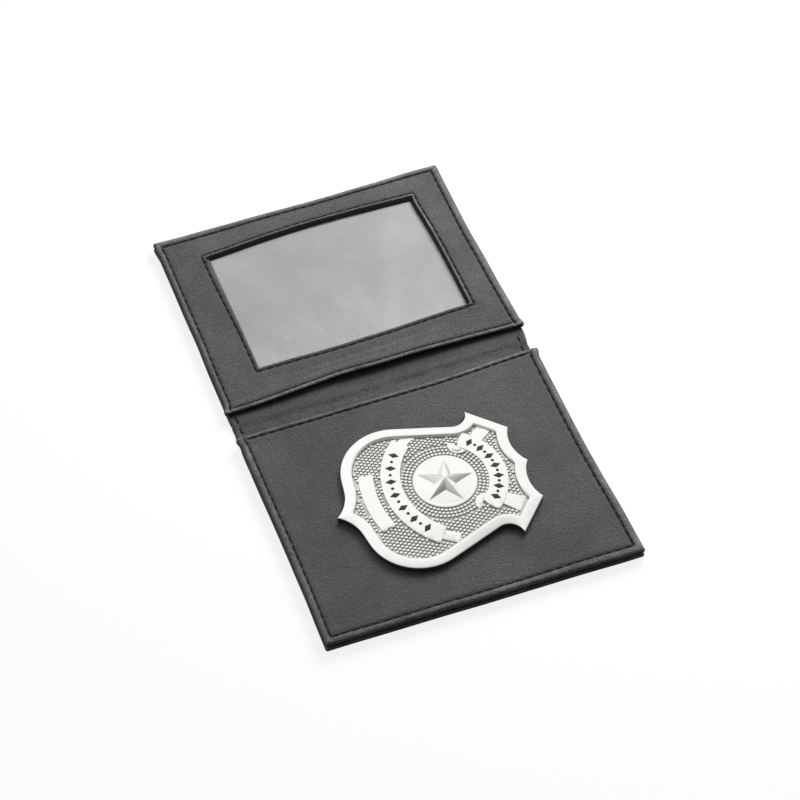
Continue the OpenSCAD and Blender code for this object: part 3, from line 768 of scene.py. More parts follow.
def window_top(x, t):
    leather = leather_sizes()
    window = window_sizes()
    around, across = panel_rows(WINDOW_MOUTH_T, leather)
    height = FRAME_HIGH[2] + panel_relief(x, t, WINDOW_SIDE, WINDOW_MOUTH_T, leather)
    height = height + mouth_rise(x, t, window) + lip_rise(x, t, leather, window)
    into = t - WINDOW_MOUTH_T
    ripple = np.sin(2 * math.pi * (into - 3) / RIPPLE_PITCH + 1.4 * soft_noise(x, t, 22, 41))
    height = height + RIPPLE_H * ripple * smooth(into, 2.4, 5) * (1 - smooth(into, 9, 14)) * hill(x, -4, 46)
    crease_t = CREASE_T + 0.8 * soft_noise(x, 3.1, 26, 43)
    height = height - CREASE_DEPTH * np.exp(-((t - crease_t) / 0.7) ** 2) * hill(x, -8, 46)
    gap = opening_gap(x, t, window)
    width = lip_width(x, t, window)
    height = height + LIP_ROLL_H * hill(gap, width + 0.1, 0.7)
    foot = PANE_HIGH[2] + LIP_FOOT_GAP
    slope = np.sin(0.5 * math.pi * np.clip(gap / width, 0, 1))
    height = foot + (height - foot) * slope
    return height - seam_dip(x, t, around + across + window_rows(window), leather)


def window_under(x, t):
    leather = leather_sizes()
    window = window_sizes()
    rise = smooth(edge_gap(x, t), leather.hem_w - 0.5, leather.hem_w + 0.5)
    inner = PANE_HIGH[2] + 0.02 + mouth_rise(x, t, window)
    return FRAME_LOW[2] + (inner - FRAME_LOW[2]) * rise


def panel_masks(mouth_t, side):
    """Where the panel leather is painted lighter, on its welts and lips as wear and painted sheen, and where
    it is painted dark as shade: in its seams, on its underside and walls, along its mouth's edge and down
    the window's open lips.
    """
    def rub(x, t, on_top):
        window = window_sizes()
        # Welts beside the edges and the mouth are painted lighter, partly as wear and partly as sheen.
        wear_and_sheen_share = 0.75 * hill(edge_gap(x, t), 1.2, 1.5) + 0.8 * hill(t - mouth_t, 0.75, 1.0)
        if side == WINDOW_SIDE:
            # A painted highlight runs along the window's rolled edge, just outside its lip slope.
            over = opening_gap(x, t, window) - lip_width(x, t, window)
            wear_and_sheen_share = np.maximum(wear_and_sheen_share, 0.6 * hill(over, 0.2, 0.7))
        return np.clip(wear_and_sheen_share * (0.8 + 0.35 * soft_noise(x, side * t, 6, 61)), 0, 1)

    def crease(x, t, on_top):
        leather = leather_sizes()
        window = window_sizes()
        around, across = panel_rows(mouth_t, leather)
        rows = around + across + (window_rows(window) if side == WINDOW_SIDE else [])
        # Painted shade: seam grooves, the whole underside with the walls up to it, the strip at the mouth's
        # edge and the slopes of the window's far and right lips.
        dark = 0.75 * seam_shade_mask(x, t, rows) if on_top else np.ones_like(x)
        if on_top:
            dark = np.maximum(dark, t < mouth_t + 0.1)
        if side == WINDOW_SIDE and on_top:
            inner = opening_gap(x, t, window) < 0.86 * lip_width(x, t, window)
            dark = np.maximum(dark, 0.95 * inner * open_side(x, t, window))
        return dark

    return {"rub": rub, "crease": crease}


def cover_seams(leather):
    left, right, end = seam_lines(leather)
    return rows_of((left, FOLD_T), (left, end), (right, end), (right, FOLD_T))


def spine_seams(leather):
    return [row for x in seam_lines(leather)[:2] for row in rows_of((x, -FOLD_T), (x, FOLD_T))]


def beside_spine(leather):
    """The part of the perimeter seam that shows on the lining, between the spine and the card mouth."""
    return [row for x in seam_lines(leather)[:2] for row in rows_of((x, FOLD_T + 0.3), (x, WINDOW_MOUTH_T))]


def cover_top(x, t):
    leather = leather_sizes()
    turned = 1 - smooth(edge_gap(x, t), leather.turned_edge_w - 0.2, leather.turned_edge_w + 0.2)
    return SPINE_COVER_TOP + (COVER_HIGH[2] - SPINE_COVER_TOP) * turned * smooth(t, FOLD_T - 1, FOLD_T + 1.2)


def cover_under(side):
    def under(x, t):
        leather = leather_sizes()
        rows = cover_seams(leather)
        dip = np.maximum(seam_dip(x, t, rows, leather), seam_dip(x, side * t, spine_seams(leather), leather))
        return COVER_LOW[2] + 0.03 + 0.25 * uneven(x, side * t, leather, 30) + dip
    return under


def lining_top(side):
    def top(x, t):
        leather = leather_sizes()
        y = side * t
        step = (LINING_HIGH[2] - SPINE_LINING_TOP) * smooth(t, FOLD_T - 1.5, FOLD_T + 1.3)
        height = SPINE_LINING_TOP + step + 0.6 * uneven(x, y, leather, 33)
        crease = soft_noise(x / 5.5, y, 1.15, 35) + 0.5 * soft_noise(x / 4, y, 0.7, 36)
        height = height + 0.1 * crease * (1 - smooth(t, 6.5, 9))
        height = np.minimum(height, LINING_HIGH[2] + 0.03)
        dips = seam_dip(x, y, spine_seams(leather), leather)
        if side == WINDOW_SIDE:
            dips = np.maximum(dips, seam_dip(x, t, beside_spine(leather), leather))
        return height - 0.7 * dips
    return top


def lining_under(x, t):
    return SPINE_COVER_TOP + (LINING_LOW[2] - SPINE_COVER_TOP) * smooth(t, FOLD_T - 0.9, FOLD_T + 0.3)


def add_node(tree, kind, inputs=None, **settings):
    """A node whose inputs are linked where they are given a socket, and set where they are given a value."""
    made = tree.nodes.new(kind)
    for name, value in settings.items():
        setattr(made, name, value)
    for name, value in (inputs or {}).items():
        if isinstance(value, bpy.types.NodeSocket):
            tree.links.new(value, made.inputs[name])
        else:
            made.inputs[name].default_value = value
    return made


def maths(tree, operation, *values, clamp=False):
    return add_node(tree, "ShaderNodeMath", dict(enumerate(values)), operation=operation,
                    use_clamp=clamp).outputs[0]


def in_millimetres(tree):
    """Object coordinates in millimetres."""
    place = add_node(tree, "ShaderNodeTexCoord")
    return add_node(tree, "ShaderNodeVectorMath", {0: place.outputs["Object"], "Scale": 1 / MM},
                    operation="SCALE").outputs[0]


def mix_colours(tree, share, first, second, blend="MIX"):
    return add_node(tree, "ShaderNodeMix", {0: share, 6: first, 7: second}, data_type="RGBA",
                    blend_type=blend).outputs[2]


def toned(tree, colour, factor):
    """A colour made lighter or darker by a factor."""
    level = add_node(tree, "ShaderNodeCombineColor", dict.fromkeys((0, 1, 2), factor)).outputs[0]
    return mix_colours(tree, 1.0, colour, level, "MULTIPLY")


def scaled(tree, value, low, high, new_low, new_high):
    return add_node(tree, "ShaderNodeMapRange",
                    {0: value, 1: low, 2: high, 3: new_low, 4: new_high}).outputs[0]


def varied(tree, noise, new_low, new_high, reach=0.2):
    """A noise carried onto a new range. It mostly lies within reach of a half."""
    return scaled(tree, noise, 0.5 - reach, 0.5 + reach, new_low, new_high)


def noise_of(tree, where, scale, detail=2.0, roughness=0.5, output="Fac"):
    return add_node(tree, "ShaderNodeTexNoise", {"Vector": where, "Scale": scale, "Detail": detail,
                                                 "Roughness": roughness}).outputs[output]


def mask_of(tree, name):
    """A mask that the mesh carries."""
    return add_node(tree, "ShaderNodeAttribute", attribute_name=name).outputs["Fac"]


def bump(tree, height, strength, depth):
    """A normal from a height whose depth is given in millimetres."""
    return add_node(tree, "ShaderNodeBump", {"Height": height, "Strength": strength,
                                             "Distance": depth * MM}).outputs[0]


def finish_group(name, inputs, build):
    """A node group that puts out a finish's colour, roughness and normal. build makes its inside, once."""
    if name in bpy.data.node_groups:
        return bpy.data.node_groups[name]
    tree = bpy.data.node_groups.new(name, "ShaderNodeTree")
    for label, value in inputs.items():
        kind = "NodeSocketColor" if isinstance(value, tuple) else "NodeSocketFloat"
        tree.interface.new_socket(name=label, in_out="INPUT", socket_type=kind).default_value = value
    for label, kind in (("Colour", "Color"), ("Roughness", "Float"), ("Normal", "Vector")):
        tree.interface.new_socket(name=label, in_out="OUTPUT", socket_type=f"NodeSocket{kind}")
    given = tree.nodes.new("NodeGroupInput").outputs
    result = tree.nodes.new("NodeGroupOutput").inputs
    for socket, made in zip(result, build(tree, given, in_millimetres(tree))):
        tree.links.new(made, socket)
    return tree


def leather_grain(tree, given, where):
    """Pebbled leather: its tone, its gloss and its relief, painted lighter as wear and painted sheen where
    the mesh's mask says so, and painted dark as shade where the crease mask says so.
    """
    bent = mix_colours(tree, 0.16, where, noise_of(tree, where, 0.9, output="Color"), "ADD")
    pebbles = add_node(tree, "ShaderNodeTexVoronoi", {
        "Vector": bent, "Scale": given["Pebbles per mm"], "Smoothness": 0.35}, feature="SMOOTH_F1")
    top = scaled(tree, pebbles.outputs["Distance"], 0.1, 0.75, 1.0, 0.0)
    pores = noise_of(tree, where, 1.9, 3.0, 0.7)
    tone = noise_of(tree, where, 0.045)
    blotch = noise_of(tree, where, 0.35, 3.0)
    crease = mask_of(tree, "crease")
    # The lighter colour of wear and painted sheen is mixed in where the mesh's mask says so, and a little on
    # each pebble's top.
    wear_and_sheen_share = maths(tree, "MULTIPLY", mask_of(tree, "rub"), varied(tree, blotch, 0.5, 1.1))
    wear_and_sheen_share = maths(tree, "MULTIPLY_ADD", top, 0.08, wear_and_sheen_share, clamp=True)
    colour = mix_colours(tree, wear_and_sheen_share, given["Colour"], given["Rubbed Colour"])
    level = maths(tree, "MULTIPLY", varied(tree, tone, 0.86, 1.14, 0.15), varied(tree, blotch, 0.9, 1.1))
    level = maths(tree, "MULTIPLY", level, varied(tree, pores, 0.4, 1.6))
    # Painted shade: the crease mask darkens the colour to as little as an eighth of it.
    level = maths(tree, "MULTIPLY", level, scaled(tree, crease, 0.0, 1.0, 1.0, 0.12))
    colour = toned(tree, colour, level)
    rough = maths(tree, "ADD", varied(tree, pores, -0.06, 0.08), given["Roughness"])
    rough = maths(tree, "MULTIPLY_ADD", crease, 0.4, rough, clamp=True)
    height = maths(tree, "MULTIPLY_ADD", pores, 0.45, top)
    return colour, rough, bump(tree, height, given["Relief"], 0.12)


def metal_finish(tree, given, where):
    """Cast or turned metal: fine handling marks, and a darker tone of painted shade where the recess mask
    says so.
    """
    cloud = noise_of(tree, where, 0.22, 3.0)
    speck = noise_of(tree, where, 3.2, 4.0, 0.65)
    drawn = add_node(tree, "ShaderNodeMapping", {"Vector": where, "Scale": (0.5, 9.0, 3.0)}).outputs[0]
    streak = noise_of(tree, drawn, 1.0, 3.0, 0.6)
    deep = maths(tree, "MULTIPLY", mask_of(tree, "recess"), varied(tree, speck, 0.8, 1.1), clamp=True)
    colour = mix_colours(tree, deep, given["Colour"], given["Recess Colour"])
    colour = toned(tree, colour, varied(tree, cloud, 0.965, 1.02))
    rough = maths(tree, "ADD", varied(tree, streak, -0.03, 0.04), given["Roughness"])
    height = maths(tree, "MULTIPLY_ADD", speck, 0.4, streak)
    return colour, rough, bump(tree, height, given["Relief"], 0.03)


def fibre_fleck(tree, given, where):
    """Fibres of board, card, cloth and thread: a fine fleck in tone and relief."""
    fleck = noise_of(tree, where, given["Flecks per mm"], 5.0, 0.65)
    cloud = noise_of(tree, where, 0.05, 3.0)
    low = maths(tree, "SUBTRACT", 1.0, given["Fleck"])
    high = maths(tree, "ADD", 1.0, given["Fleck"])
    level = maths(tree, "MULTIPLY", varied(tree, fleck, low, high), varied(tree, cloud, 0.955, 1.045, 0.15))
    colour = toned(tree, given["Colour"], level)
    return colour, varied(tree, fleck, 0.62, 0.78), bump(tree, fleck, given["Relief"], 0.05)


def finish_material(name, group, values, **surface):
    """A material whose colour, roughness and normal come from a finish group. surface sets other sockets."""
    if name in bpy.data.materials:
        return bpy.data.materials[name]
    material = bpy.data.materials.new(name)
    material.use_nodes = True
    tree = material.node_tree
    shader = tree.nodes["Principled BSDF"]
    finish = tree.nodes.new("ShaderNodeGroup")
    finish.node_tree = group
    for label, value in values.items():
        finish.inputs[label].default_value = value
    for label, socket in (("Colour", "Base Color"), ("Roughness", "Roughness"), ("Normal", "Normal")):
        tree.links.new(finish.outputs[label], shader.inputs[socket])
    for label, value in surface.items():
        shader.inputs[label.replace("_", " ")].default_value = value
    return material


def opaque(colour):
    return (*colour, 1.0)


def user_colour(name):
    return opaque(getattr(bpy.context.scene.wallet_colours, name))


def leather_material(name, colour_name, pebbles, relief, roughness):
    group = finish_group("leather_grain", {
        "Colour": (0.08, 0.08, 0.08, 1), "Rubbed Colour": (0.2, 0.2, 0.2, 1),
        "Pebbles per mm": 2.0, "Relief": 0.3, "Roughness": 0.5}, leather_grain)
    return finish_material(name, group, {
        "Colour": user_colour(colour_name), "Rubbed Colour": user_colour("wear_and_sheen_leather"),
        "Pebbles per mm": pebbles, "Relief": relief, "Roughness": roughness}, Specular_IOR_Level=0.4)


def metal_material(name, colour_name, recess, roughness, relief):
    group = finish_group("metal_finish", {
        "Colour": (0.6, 0.6, 0.6, 1), "Recess Colour": (0.3, 0.3, 0.3, 1),
        "Roughness": 0.25, "Relief": 0.1}, metal_finish)
    return finish_material(name, group, {
        "Colour": user_colour(colour_name), "Recess Colour": recess,
        "Roughness": roughness, "Relief": relief}, Metallic=1.0)


def fibre_material(name, colour_name, fleck, per_mm, relief, **surface):
    group = finish_group("fibre_fleck", {
        "Colour": (0.5, 0.5, 0.5, 1), "Fleck": 0.1, "Flecks per mm": 2.0, "Relief": 0.1}, fibre_fleck)
    return finish_material(name, group, {
        "Colour": user_colour(colour_name), "Fleck": fleck, "Flecks per mm": per_mm,
        "Relief": relief}, **surface)


def panel_leather():
    return leather_material("grained_panel_leather", "panel", 1.3, 0.9, 0.46)


def cover_leather():
    return leather_material("grained_cover_leather", "cover", 1.2, 0.9, 0.48)


def lining_leather():
    return leather_material("grained_lining_leather", "lining", 1.5, 0.8, 0.48)


def sewing_thread():
    return fibre_material("sewing_thread", "thread", 0.4, 4.0, 0.6, Specular_IOR_Level=0.3)


def shield_plating():
    return metal_material("shield_plating", "plate", user_colour("recess"), 0.22, 0.02)


def post_steel():
    return metal_material("post_steel", "steel", user_colour("recess"), 0.32, 0.3)


def nut_brass():
    return metal_material("nut_brass", "brass", (0.3, 0.2, 0.08, 1), 0.3, 0.3)


def hard_enamel():
    return fibre_material("hard_enamel", "enamel", 0.15, 1.5, 0.02, Coat_Weight=0.5, Coat_Roughness=0.1)


def card_stock():
    return fibre_material("card_stock", "card", 0.015, 0.8, 0.02)


def stiff_board():
    return fibre_material("stiff_board", "board", 0.22, 3.0, 0.5)


def backing_cloth():
    """Plain weave: two sets of yarns that cross."""
    name = "woven_backing_cloth"
    if name in bpy.data.materials:
        return bpy.data.materials[name]
    material = fibre_material(name, "cloth", 0.25, 3.0, 0.3)
    tree = material.node_tree
    where = in_millimetres(tree)
    yarns = [add_node(tree, "ShaderNodeTexWave", {"Vector": where, "Scale": 0.5, "Distortion": 0.2},
                      wave_type="BANDS", bands_direction=axis).outputs["Fac"] for axis in ("X", "Y")]
    relief = bump(tree, maths(tree, "MULTIPLY", *yarns), 0.8, 0.1)
    tree.links.new(relief, tree.nodes["Principled BSDF"].inputs["Normal"])
    return material


def clear_film():
    """Clear soft film with a faint haze and smudges, painted hazier towards the near end as a reflection and
    clearer at the far middle as shade, where the mask on the film says so.
    """
    name = "clear_film"
    if name in bpy.data.materials:
        return bpy.data.materials[name]
    material = bpy.data.materials.new(name)
    material.use_nodes = True
    tree = material.node_tree
    where = in_millimetres(tree)
    cloud = noise_of(tree, where, 0.035, 3.0, 0.55)
    smudge = noise_of(tree, where, 0.12, 4.0, 0.6)
    haze = maths(tree, "ADD", varied(tree, cloud, 0.1, 0.26, 0.15), varied(tree, smudge, -0.02, 0.04, 0.15))
    haze = maths(tree, "ADD", haze, scaled(tree, mask_of(tree, "scuff"), 0.0, 1.0, -0.04, 0.14), clamp=True)
    surface = {
        "Base Color": mix_colours(tree, varied(tree, smudge, 0.0, 0.35, 0.15), user_colour("film"),
                                  (0.9, 0.9, 0.89, 1)),
        "Alpha": haze,
        "Roughness": varied(tree, smudge, 0.16, 0.3),
        "Normal": bump(tree, smudge, 0.15, 0.1),
    }
    for label, socket in surface.items():
        tree.links.new(socket, tree.nodes["Principled BSDF"].inputs[label])
    return material


# The shield lies in its own plane, in millimetres from the middle of the star: u across it and v up it.
# A circle is given by u, v and radius. A banner or the number panel is given by its inner and outer radius
# and half its angle, after the v of its middle where that isn't the star's, and a tail by radii and angles
OUTLINE_PLACE = (1.15, -0.4)
OUTLINE_STRETCH = 1.012
CROWN_PEAK = 41.9
CROWN_HOLLOW = (7.8, 38.0, 12.5)
EAR_NOTCH = (25.6, 11.7, 5.0)
LOBE = (10.4, -13.1, 17.2)
TIP_HOLLOW = (10.7, -43.7, 13.1)
DOME_H = 1.0
DOME_REACH = (27.5, 36.0)
DOME_FLAT_SHARE = 0.4
DOME_FULL_H = 1.3
UPPER_BANNER = (14.0, 20.2, 51.0)
UPPER_BANNER_SWELL = 3.4
LOWER_BANNER = (8.0, 21.7, 28.0, 50.5)
NUMBER_PANEL = (12.8, 34.9, 39.6, 17.0)
UPPER_TAIL = (19.0, 26.0, 33.0, 46.0)
LOWER_TAIL = (22.8, 26.2, 49.0, 63.0)
CURL = ((9.3, 10.2), (9.0, 8.6), (9.5, 7.2), (10.7, 6.3), (12.2, 6.0), (13.5, 6.5), (12.9, 7.4), (11.6, 8.2),
        (10.6, 9.3))
CURL_GROWTH = 1.25
CURL_ROLL_SHARE = 0.55
CURL_TILT = 0.06
CURL_H = 2.0
CURL_ROLL_H = 2.35
BEAD_RING_GAPS = (0.85, 2.1, 3.3)
BEAD_ROWS_GAP = 4.4
BEAD_RIM_GAP = 0.3
BEAD_BLOCK_GAP = 0.26
BEAD_FIELD = (-27.3, 27.4, -37.0, 31.0)
NOTCH_SHARE = 0.382
STAR_SKIRT = 0.18
MOTIF_STEPS = (-3, -2, -1, 0, 1, 2, 3)
DOT_STEPS = (-2.5, -1.5, -0.5, 0.5, 1.5, 2.5)
UPPER_MOTIF_TURN = 14.0
LOWER_MOTIF_TURN = 12.5
LOZENGE = (3.7, 2.1)
DOT_R = 0.55


def on_wallet(points):
    """Carries points of the shield, as u, v and height above its back, to their place on the wallet."""
    u, v, height = np.array(points, float).T
    return np.stack([STAR_X + v, STAR_Y - u, SHIELD_Z + height], -1).tolist()


def dome(piece, slice_w=0.0):
    """Domes the front of a piece of the shield, whose back stays flat. Broad faces are cut into slices."""
    work = bmesh.new()
    work.from_mesh(piece.data)
    if slice_w:
        for axis, middle, reach in ((0, STAR_X, DOME_REACH[1]), (1, STAR_Y, DOME_REACH[0])):
            across = Vector((1 - axis, axis, 0))
            for offset in np.arange(-reach, reach, slice_w):
                bmesh.ops.bisect_plane(work, geom=[*work.verts, *work.edges, *work.faces], dist=1e-7,
                                       plane_co=across * float(middle + offset) * MM, plane_no=across)
    place = np.array([point.co for point in work.verts]) / MM
    out = np.hypot((place[:, 1] - STAR_Y) / DOME_REACH[0], (place[:, 0] - STAR_X) / DOME_REACH[1])
    rise = DOME_H * (1 - smooth(out, DOME_FLAT_SHARE, 1.0))
    rise = rise * smooth(place[:, 2] - SHIELD_Z, 0.0, DOME_FULL_H)
    for point, lift in zip(work.verts, rise.tolist()):
        point.co.z += lift * MM
    work.to_mesh(piece.data)
    work.free()


def arc(centre_u, centre_v, radius, start, finish, count):
    """Points on a circle between two angles, measured from the u axis."""
    angles = np.linspace(start, finish, count)
    return [(centre_u + radius * math.cos(a), centre_v + radius * math.sin(a)) for a in angles]


def line(start, finish, count):
    shares = np.linspace(0, 1, count)
    return [(start[0] + (finish[0] - start[0]) * s, start[1] + (finish[1] - start[1]) * s) for s in shares]


def shield_loop(inset):
    """The shield's outline drawn in by an inset, anticlockwise from its bottom point.

    Every loop has as many points, so that loops can be joined.
    """
    hollow_u, hollow_v, hollow_r = CROWN_HOLLOW[0], CROWN_HOLLOW[1], CROWN_HOLLOW[2] + inset
    notch_u, notch_v, notch_r = EAR_NOTCH[0], EAR_NOTCH[1], EAR_NOTCH[2] + inset
    lobe_u, lobe_v, lobe_r = LOBE[0], LOBE[1], LOBE[2] - inset
    tip_u, tip_v, tip_r = TIP_HOLLOW[0], TIP_HOLLOW[1], TIP_HOLLOW[2] + inset
    total = CROWN_PEAK - inset * math.sqrt(2)

    def on_line(circle_u, circle_v, radius, way):
        """Where the 45 degree line of the ear meets a circle, on the side that way points to."""
        slack = (total - circle_u - circle_v) / 2
        reach = math.sqrt(radius * radius / 2 - slack * slack)
        return (circle_u + slack + way * reach, circle_v + slack - way * reach)

    def turn(circle_u, circle_v, point):
        return math.atan2(point[1] - circle_v, point[0] - circle_u)

    def tangent(circle_u, circle_v, radii, way):
        reach_u, reach_v = circle_u - lobe_u, circle_v - lobe_v
        return math.atan2(reach_v, reach_u) - way * math.acos(radii / math.hypot(reach_u, reach_v))

    side_turn = tangent(notch_u, notch_v, lobe_r + notch_r, 1)
    low_turn = tangent(tip_u, tip_v, lobe_r + tip_r, -1)
    tip = (0.0, tip_v + math.sqrt(tip_r ** 2 - tip_u ** 2))
    apex = (0.0, hollow_v - math.sqrt(hollow_r ** 2 - hollow_u ** 2))
    shoulder = on_line(hollow_u, hollow_v, hollow_r, 1)
    ear = on_line(notch_u, notch_v, notch_r, -1)
    side_end = (notch_u - notch_r * math.cos(side_turn), notch_v - notch_r * math.sin(side_turn))
    side_start = (lobe_u + lobe_r * math.cos(side_turn), lobe_v + lobe_r * math.sin(side_turn))
    low_end = (lobe_u + lobe_r * math.cos(low_turn), lobe_v + lobe_r * math.sin(low_turn))
    low_start = (tip_u - tip_r * math.cos(low_turn), tip_v - tip_r * math.sin(low_turn))
    half = arc(tip_u, tip_v, tip_r, turn(tip_u, tip_v, tip), turn(tip_u, tip_v, low_start), 11)[:-1]
    half += line(low_start, low_end, 5)[:-1]
    half += arc(lobe_u, lobe_v, lobe_r, low_turn, side_turn, 25)[:-1]
    half += line(side_start, side_end, 13)[:-1]
    half += arc(notch_u, notch_v, notch_r, side_turn + math.pi, turn(notch_u, notch_v, ear), 15)[:-1]
    half += line(ear, shoulder, 7)[:-1]
    half += arc(hollow_u, hollow_v, hollow_r, turn(hollow_u, hollow_v, shoulder),
                turn(hollow_u, hollow_v, apex), 13)
    both = half + [(-u, v) for u, v in reversed(half[1:-1])]
    return [(u * OUTLINE_STRETCH + OUTLINE_PLACE[0], v + OUTLINE_PLACE[1]) for u, v in both]


def inset_outline(points, inset):
    """An outline drawn in by a small inset. The points run anticlockwise."""
    flat = np.array(points, float)
    ahead = np.roll(flat, -1, 0) - flat
    ahead /= np.linalg.norm(ahead, axis=1, keepdims=True)
    behind = np.roll(ahead, 1, 0)
    normal = np.stack([-ahead[:, 1] - behind[:, 1], ahead[:, 0] + behind[:, 0]], -1)
    length = np.linalg.norm(normal, axis=1, keepdims=True)
    normal /= length
    return flat + normal * inset * np.clip(2 / length, 1, 1.6)


def loft(parts, loops, values=None):
    """A closed form through loops of equal length, from the lowest to the highest, with a value for each."""
    count = len(loops[0])
    points = [point for loop in loops for point in loop]
    faces = tube_faces(len(loops), count)[:-2]
    last = (len(loops) - 1) * count
    for first, loop, turned in ((0, loops[0], True), (last, loops[-1], False)):
        for triangle in tessellate_polygon([[Vector((u, v, 0)) for u, v, _ in loop]]):
            corners = tuple(first + corner for corner in triangle)
            faces.append(corners[::-1] if turned else corners)
    parts.add(on_wallet(points), faces, np.repeat(values or [0.0] * len(loops), count).tolist())


def pad(parts, outline, low, high, bevel=0.14, tilt=(0.0, 0.0)):
    """A raised pad with a softly bevelled edge. tilt is its rise for each millimetre across and up."""
    outline = np.array(outline, float)
    middle = outline.mean(0)
    steps = [(0.0, low, 0), (0.0, high - bevel, 1), (bevel * 0.3, high - bevel * 0.3, 1), (bevel, high, 1)]
    loops = []
    for inset, height, tilted in steps:
        ring = inset_outline(outline, inset) if inset else outline
        rise = tilted * ((ring - middle) @ np.array(tilt))
        loops.append([(u, v, height + r) for (u, v), r in zip(ring.tolist(), rise.tolist())])
    loft(parts, loops)


def hanging(centre_v, radius, degrees):
    """A point on a circle that hangs below its centre, by its angle from straight down."""
    angle = math.radians(degrees)
    return (radius * math.sin(angle), centre_v - radius * math.cos(angle))


def standing(radius, degrees):
    angle = math.radians(degrees)
    return (radius * math.sin(angle), radius * math.cos(angle))


def upper_banner_outline():
    """The upper banner, with rounded ends that swell a little."""
    inner, outer, half = UPPER_BANNER
    middle, width = (inner + outer) / 2, (outer - inner) / 2
    points = [standing(inner, a) for a in np.linspace(-half, half, 31)]
    for way in (1, -1):
        for step in np.linspace(90 + 90 * way, 90 - 90 * way, 13)[1:-1]:
            swell = UPPER_BANNER_SWELL * math.sin(math.radians(step)) ** 0.7
            radius = middle + width * math.cos(math.radians(step))
            points.append(standing(radius, way * (half + swell)))
        if way == 1:
            points += [standing(outer, a) for a in np.linspace(half, -half, 37)]
    return points


def lower_banner_outline():
    centre, inner, outer, half = LOWER_BANNER
    points = [hanging(centre, outer, a) for a in np.linspace(-half, half, 41)]
    return points + [hanging(centre, inner, a) for a in np.linspace(half, -half, 33)]


def number_panel_outline():
    """The blank number panel, with bracket-shaped ends."""
    centre, inner, outer, half = NUMBER_PANEL
    middle = (inner + outer) / 2
    ends = [(outer, half - 1.3), (outer - 0.25, half - 0.4), (outer - 0.8, half + 0.1), (outer - 1.6, half),
            (middle + 0.3, half - 0.5), (middle - 0.4, half - 0.5), (inner + 1.6, half + 0.3),
            (inner + 0.8, half + 0.7), (inner + 0.25, half + 0.5), (inner, half - 0.4)]
    points = [hanging(centre, outer, a) for a in np.linspace(1.3 - half, half - 1.3, 17)]
    points += [hanging(centre, r, a) for r, a in ends[1:]]
    points += [hanging(centre, inner, a) for a in np.linspace(half - 0.4, 0.4 - half, 17)[1:]]
    return points + [hanging(centre, r, -a) for r, a in reversed(ends[1:-1])]


def keep_inside(outline, loop):
    """Draws an outline's points in towards its middle until each lies inside a loop."""
    outline = np.array(outline, float)
    middle = outline.mean(0)
    result = []
    for point in outline:
        share = 1.0
        while share > 0 and not is_inside(loop, middle + (point - middle) * share):
            share -= 0.02
        result.append(tuple(middle + (point - middle) * share))
    return result


def is_inside(loop, point):
    loop = np.asarray(loop)
    ahead = np.roll(loop, -1, 0)
    crosses = (loop[:, 1] > point[1]) != (ahead[:, 1] > point[1])
    rise = np.where(ahead[:, 1] == loop[:, 1], 1.0, ahead[:, 1] - loop[:, 1])
    meet = loop[:, 0] + (point[1] - loop[:, 1]) * (ahead[:, 0] - loop[:, 0]) / rise
    return bool(np.count_nonzero(crosses & (point[0] < meet)) % 2)


def outline_gap(outline, point):
    """Distance from a point to an outline."""
    start = np.asarray(outline, float)
    run = np.roll(start, -1, 0) - start
    share = ((point - start) * run).sum(1) / (run * run).sum(1)
    near = start + run * np.clip(share, 0, 1)[:, None]
    return float(np.min(np.hypot(*(near - point).T)))


def tail_outlines(loop):
    """The folded tails beside both banners, cut off where the rim rises."""
    outlines = []
    inner, outer, start, finish = LOWER_TAIL
    for way in (-1, 1):
        upper = [standing(UPPER_TAIL[0], way * a) for a in np.linspace(*UPPER_TAIL[2:], 7)]
        upper += [standing(UPPER_TAIL[1], way * a) for a in np.linspace(*UPPER_TAIL[:1:-1], 9)]
        lower = [hanging(LOWER_BANNER[0], outer, way * a) for a in np.linspace(start, finish, 9)]
        lower += [hanging(LOWER_BANNER[0], inner, way * a) for a in np.linspace(finish, start, 9)]
        outlines += [upper[::-1] if way > 0 else upper, lower if way > 0 else lower[::-1]]
    return [keep_inside(turned_anticlockwise(outline), loop) for outline in outlines]


def turned_anticlockwise(outline):
    flat = np.array(outline, float)
    ahead = np.roll(flat, -1, 0)
    area = float((flat[:, 0] * ahead[:, 1] - ahead[:, 0] * flat[:, 1]).sum())
    return flat if area > 0 else flat[::-1]


def bead_places(shield, blocks, field):
    """Middles of the beads: rings round the disc, and close rows over the rest of the field."""
    pitch = shield.bead_pitch
    places = []
    for gap in BEAD_RING_GAPS:
        count = round(2 * math.pi * (DISC_R + gap) / (pitch * 0.96))
        places += arc(0, 0, DISC_R + gap, 0, 2 * math.pi, count + 1)[:-1]
    left, right, low, high = BEAD_FIELD
    for row, v in enumerate(np.arange(low, high, pitch * math.sqrt(3) / 2)):
        first = left + (pitch / 2 if row % 2 else 0)
        places += [(u, v) for u in np.arange(first, right, pitch)
                   if math.hypot(u, v) > DISC_R + BEAD_ROWS_GAP]
    places = [place for place in places
              if is_inside(field, place) and outline_gap(field, place) >= BEAD_RIM_GAP]
    return [place for place in places
            if not any(is_inside(block, place) or outline_gap(block, place) < BEAD_BLOCK_GAP
                       for block in blocks)]


def add_bead(parts, place, base, radius, height):
    corners = 10
    rings = [(1.0, -0.05), (0.95, 0.45), (0.74, 0.82), (0.42, 0.97)]
    points = [(place[0] + radius * share * math.cos(2 * math.pi * i / corners),
               place[1] + radius * share * math.sin(2 * math.pi * i / corners), base + height * level)
              for share, level in rings for i in range(corners)]
    faces = tube_faces(len(rings), corners)[:-1]
    top = len(points)
    points.append((place[0], place[1], base + height))
    last = (len(rings) - 1) * corners
    faces += [(last + i, last + (i + 1) % corners, top) for i in range(corners)]
    # Painted shade through the recess mask: dark at the foot of each bead, fading up its side.
    dark = [level for level in (1.0, 0.6, 0.0, 0.0) for _ in range(corners)] + [0.0]
    parts.add(on_wallet(points), faces, dark)


